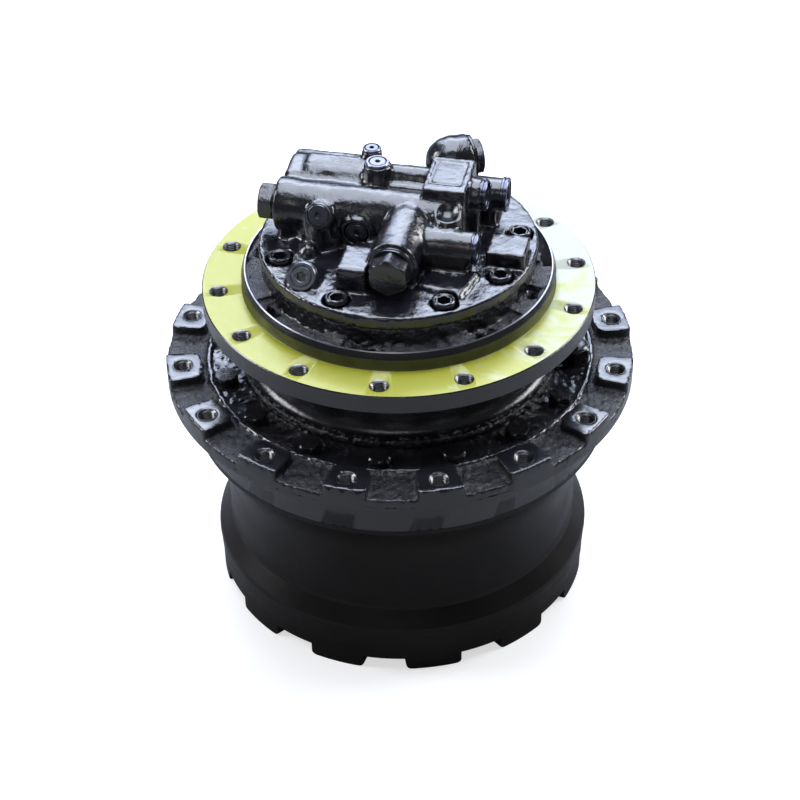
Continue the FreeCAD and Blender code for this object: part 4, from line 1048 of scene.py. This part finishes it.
motorCase()
threads("frameThreads", case["bolts"], case["firstBolt"], case["boltR"], -1.4, 18, case["tapR"], 2.5,
        "case")

# Hub: pads, cast recesses, spot faces, bolts.

hub = {
    "face": -100.0, "rimR": 219.3, "rim": -97.0, "groove": 222.6, "flangeR": 265.0, "pad": -88.9,
    "under": -117.4,
    "boltR": 247.0, "bolts": 16, "firstBolt": 8.98, "tapR": 8.75, "mouthR": 10.6, "padHalf": 5.4,
    "hexR": 202.0, "hexes": 16, "firstHex": -6.7, "spotR": 15.5, "split": -111.0, "step": 1.9,
}


def hubRing():
    h = hub
    f = newField((-268, -268, -122), (268, 268, -85), h["step"])
    ring(f, 176.2, h["rimR"] + 3.5, -120, h["face"] + 0.4, edge=0.5, soft=0)
    ring(f, h["rimR"] - 5, h["rimR"], -120, h["rim"], edge=1.4, soft=3)
    ring(f, h["rimR"] + 2, h["flangeR"], h["under"], h["face"] - 1.0, edge=2.2, soft=1)
    ripple(f, 6.0, 0.8, 41)
    ripple(f, 13.0, 0.7, 42)
    ring(f, 183, h["rimR"] + 0.5, -120, h["face"], edge=0.8, soft=0.5)
    ring(f, h["rimR"] - 5, h["rimR"], -120, h["rim"], edge=1.4, soft=2)
    rng = np.random.default_rng(4)
    for k in range(h["bolts"]):
        deg = h["firstBolt"] + k * 360 / h["bolts"]
        wedge(f, deg + rng.uniform(-0.3, 0.3), h["padHalf"] + rng.uniform(-0.2, 0.3), h["groove"] + 3.0,
              h["flangeR"] + 1.5, -112, h["pad"], edge=4.2, soft=4.5)
    ripple(f, 16.0, 0.22, 43)
    x, y, z = axesOf(f)
    away = np.sqrt(x * x + y * y)
    f["values"] = np.maximum(f["values"], away - h["flangeR"])
    f["values"] = np.maximum(f["values"], 175.6 - away)
    f["values"] = np.maximum(f["values"], z - h["pad"])
    f["values"] = np.maximum(f["values"], h["under"] + 0.05 - z)
    for k in range(h["hexes"]):
        deg = h["firstHex"] + k * 360 / h["hexes"]
        r = h["hexR"] - 3 * (k == 0)
        px, py = [v / mm for v in onCircle(r, deg, 0)[:2]]
        spot = h["spotR"] + 2.5 * (k == 0)
        rod(f, (px, py, h["face"] - 0.4), (px, py, h["face"] + 14), spot - 1, spot + 2.6, edge=0, soft=1.6,
            cut=True)
        rod(f, (px, py, -125), (px, py, -90), 8.6, edge=0, soft=0, cut=True)
    for k in range(h["bolts"]):
        px, py = [v / mm for v in onCircle(h["boltR"], h["firstBolt"] + k * 360 / h["bolts"], 0)[:2]]
        rod(f, (px, py, -125), (px, py, -80), h["tapR"] + 0.7, edge=0, soft=0, cut=True)
        rod(f, (px, py, h["pad"] - 2.2), (px, py, h["pad"] + 2), h["tapR"] + 0.3, h["tapR"] + 4.4, edge=0,
            soft=0, cut=True)
    return skin(f, "hubRing", 0, 0.05)


hubRough = paint("hubRough", {"dark": (0.005, 0.005, 0.006), "light": (0.02, 0.019, 0.021), "blotch": 40.0,
                              "gloss": (0.2, 0.42), "specular": 0.6, "grain": 380.0, "grainDepth": 0.0016,
                              "peel": 90.0, "peelDepth": 0.0012})
padPaint = paint("padPaint", {"dark": (0.006, 0.006, 0.008), "light": (0.016, 0.016, 0.02), "blotch": 30.0,
                              "gloss": (0.16, 0.28), "specular": 1.0, "grain": 260.0, "grainDepth": 0.00012,
                              "peel": 50.0, "peelDepth": 0.0002})
hubSet = [casePaint, hubRough, threadSteel, padPaint]


def hubFinish(p, n):
    r = math.hypot(p.x, p.y)
    if p.z > -90.6 or (182 < r < 220.5 and p.z > -101.5):
        return 3
    return 1 if 220 < r < 263.5 and -104 < p.z < -91.5 else 0


def hubPiece():
    ringPart = fitted(hubRing(), hubSet, hubFinish)
    low = fitted(lowerHalf("hub", "hubLow", hub["split"]), hubSet, lambda p, n: 0)
    sleeve = []
    for k in range(hub["bolts"]):
        r, deg = hub["tapR"], hub["firstBolt"] + k * 360 / hub["bolts"]
        turned = [(r, -117.2), (r + 2, -117.2), (r + 2.6, -91.4), (r + 1.9, -89.0), (r + 1.7, -89.0),
                  (r, -90.8)]
        one = lathe("holeWall", turned, 40)
        one.data.transform(Matrix.Translation(onCircle(hub["boltR"], deg, 0)))
        sleeve.append(fitted(one, hubSet, lambda p, n: 2))
    obj = joined("hubCasting", [ringPart, low] + sleeve)
    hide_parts("hub")
    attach(obj, "hub")
    print("hub:", len(obj.data.polygons), "faces")


hubPiece()
threads("sprocketThreads", hub["bolts"], hub["firstBolt"], hub["boltR"], hub["pad"] - 2.0, 18, hub["tapR"],
        2.5, "hub")

boltPart = prism("boltPart", 24.0, -30.0, 10.0, corner=1.4)
boltPlaces = [(onCircle(hub["hexR"], hub["firstHex"] + k * 360 / hub["hexes"], hub["face"]), (0, 0, 1))
              for k in range(1, hub["hexes"])]
bolts = repeat("hubBolts", boltPart, boltPlaces, casePaint, spin=6.28)
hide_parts("hub_bolts")
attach(bolts, "hub")

shank = [(0, -40), (8, -40), (8, -0.1), (17.2, -0.1), (17.6, 0.6), (17.2, 2.2), (0, 2.2)]
tallLow = lathe("tallShank", shank, 48)
tallHex = prism("tallHex", 30.0, 1.0, 19.5, corner=1.8)
dome = [(0, 17), (14.2, 17), (14.2, 19.6), (12.8, 21.2), (9.0, 22.4), (4.5, 22.9), (0, 23.0)]
tallTop = lathe("tallTop", dome, 48)
tall = joined("indexBolt", [tallLow, tallHex, tallTop])
tall.data.transform(Matrix.Translation(onCircle(199.0, hub["firstHex"], hub["face"])))
dress(tall, casePaint)
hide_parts("index_bolt")
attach(tall, "hub")
print("hub ring, threads and bolts")
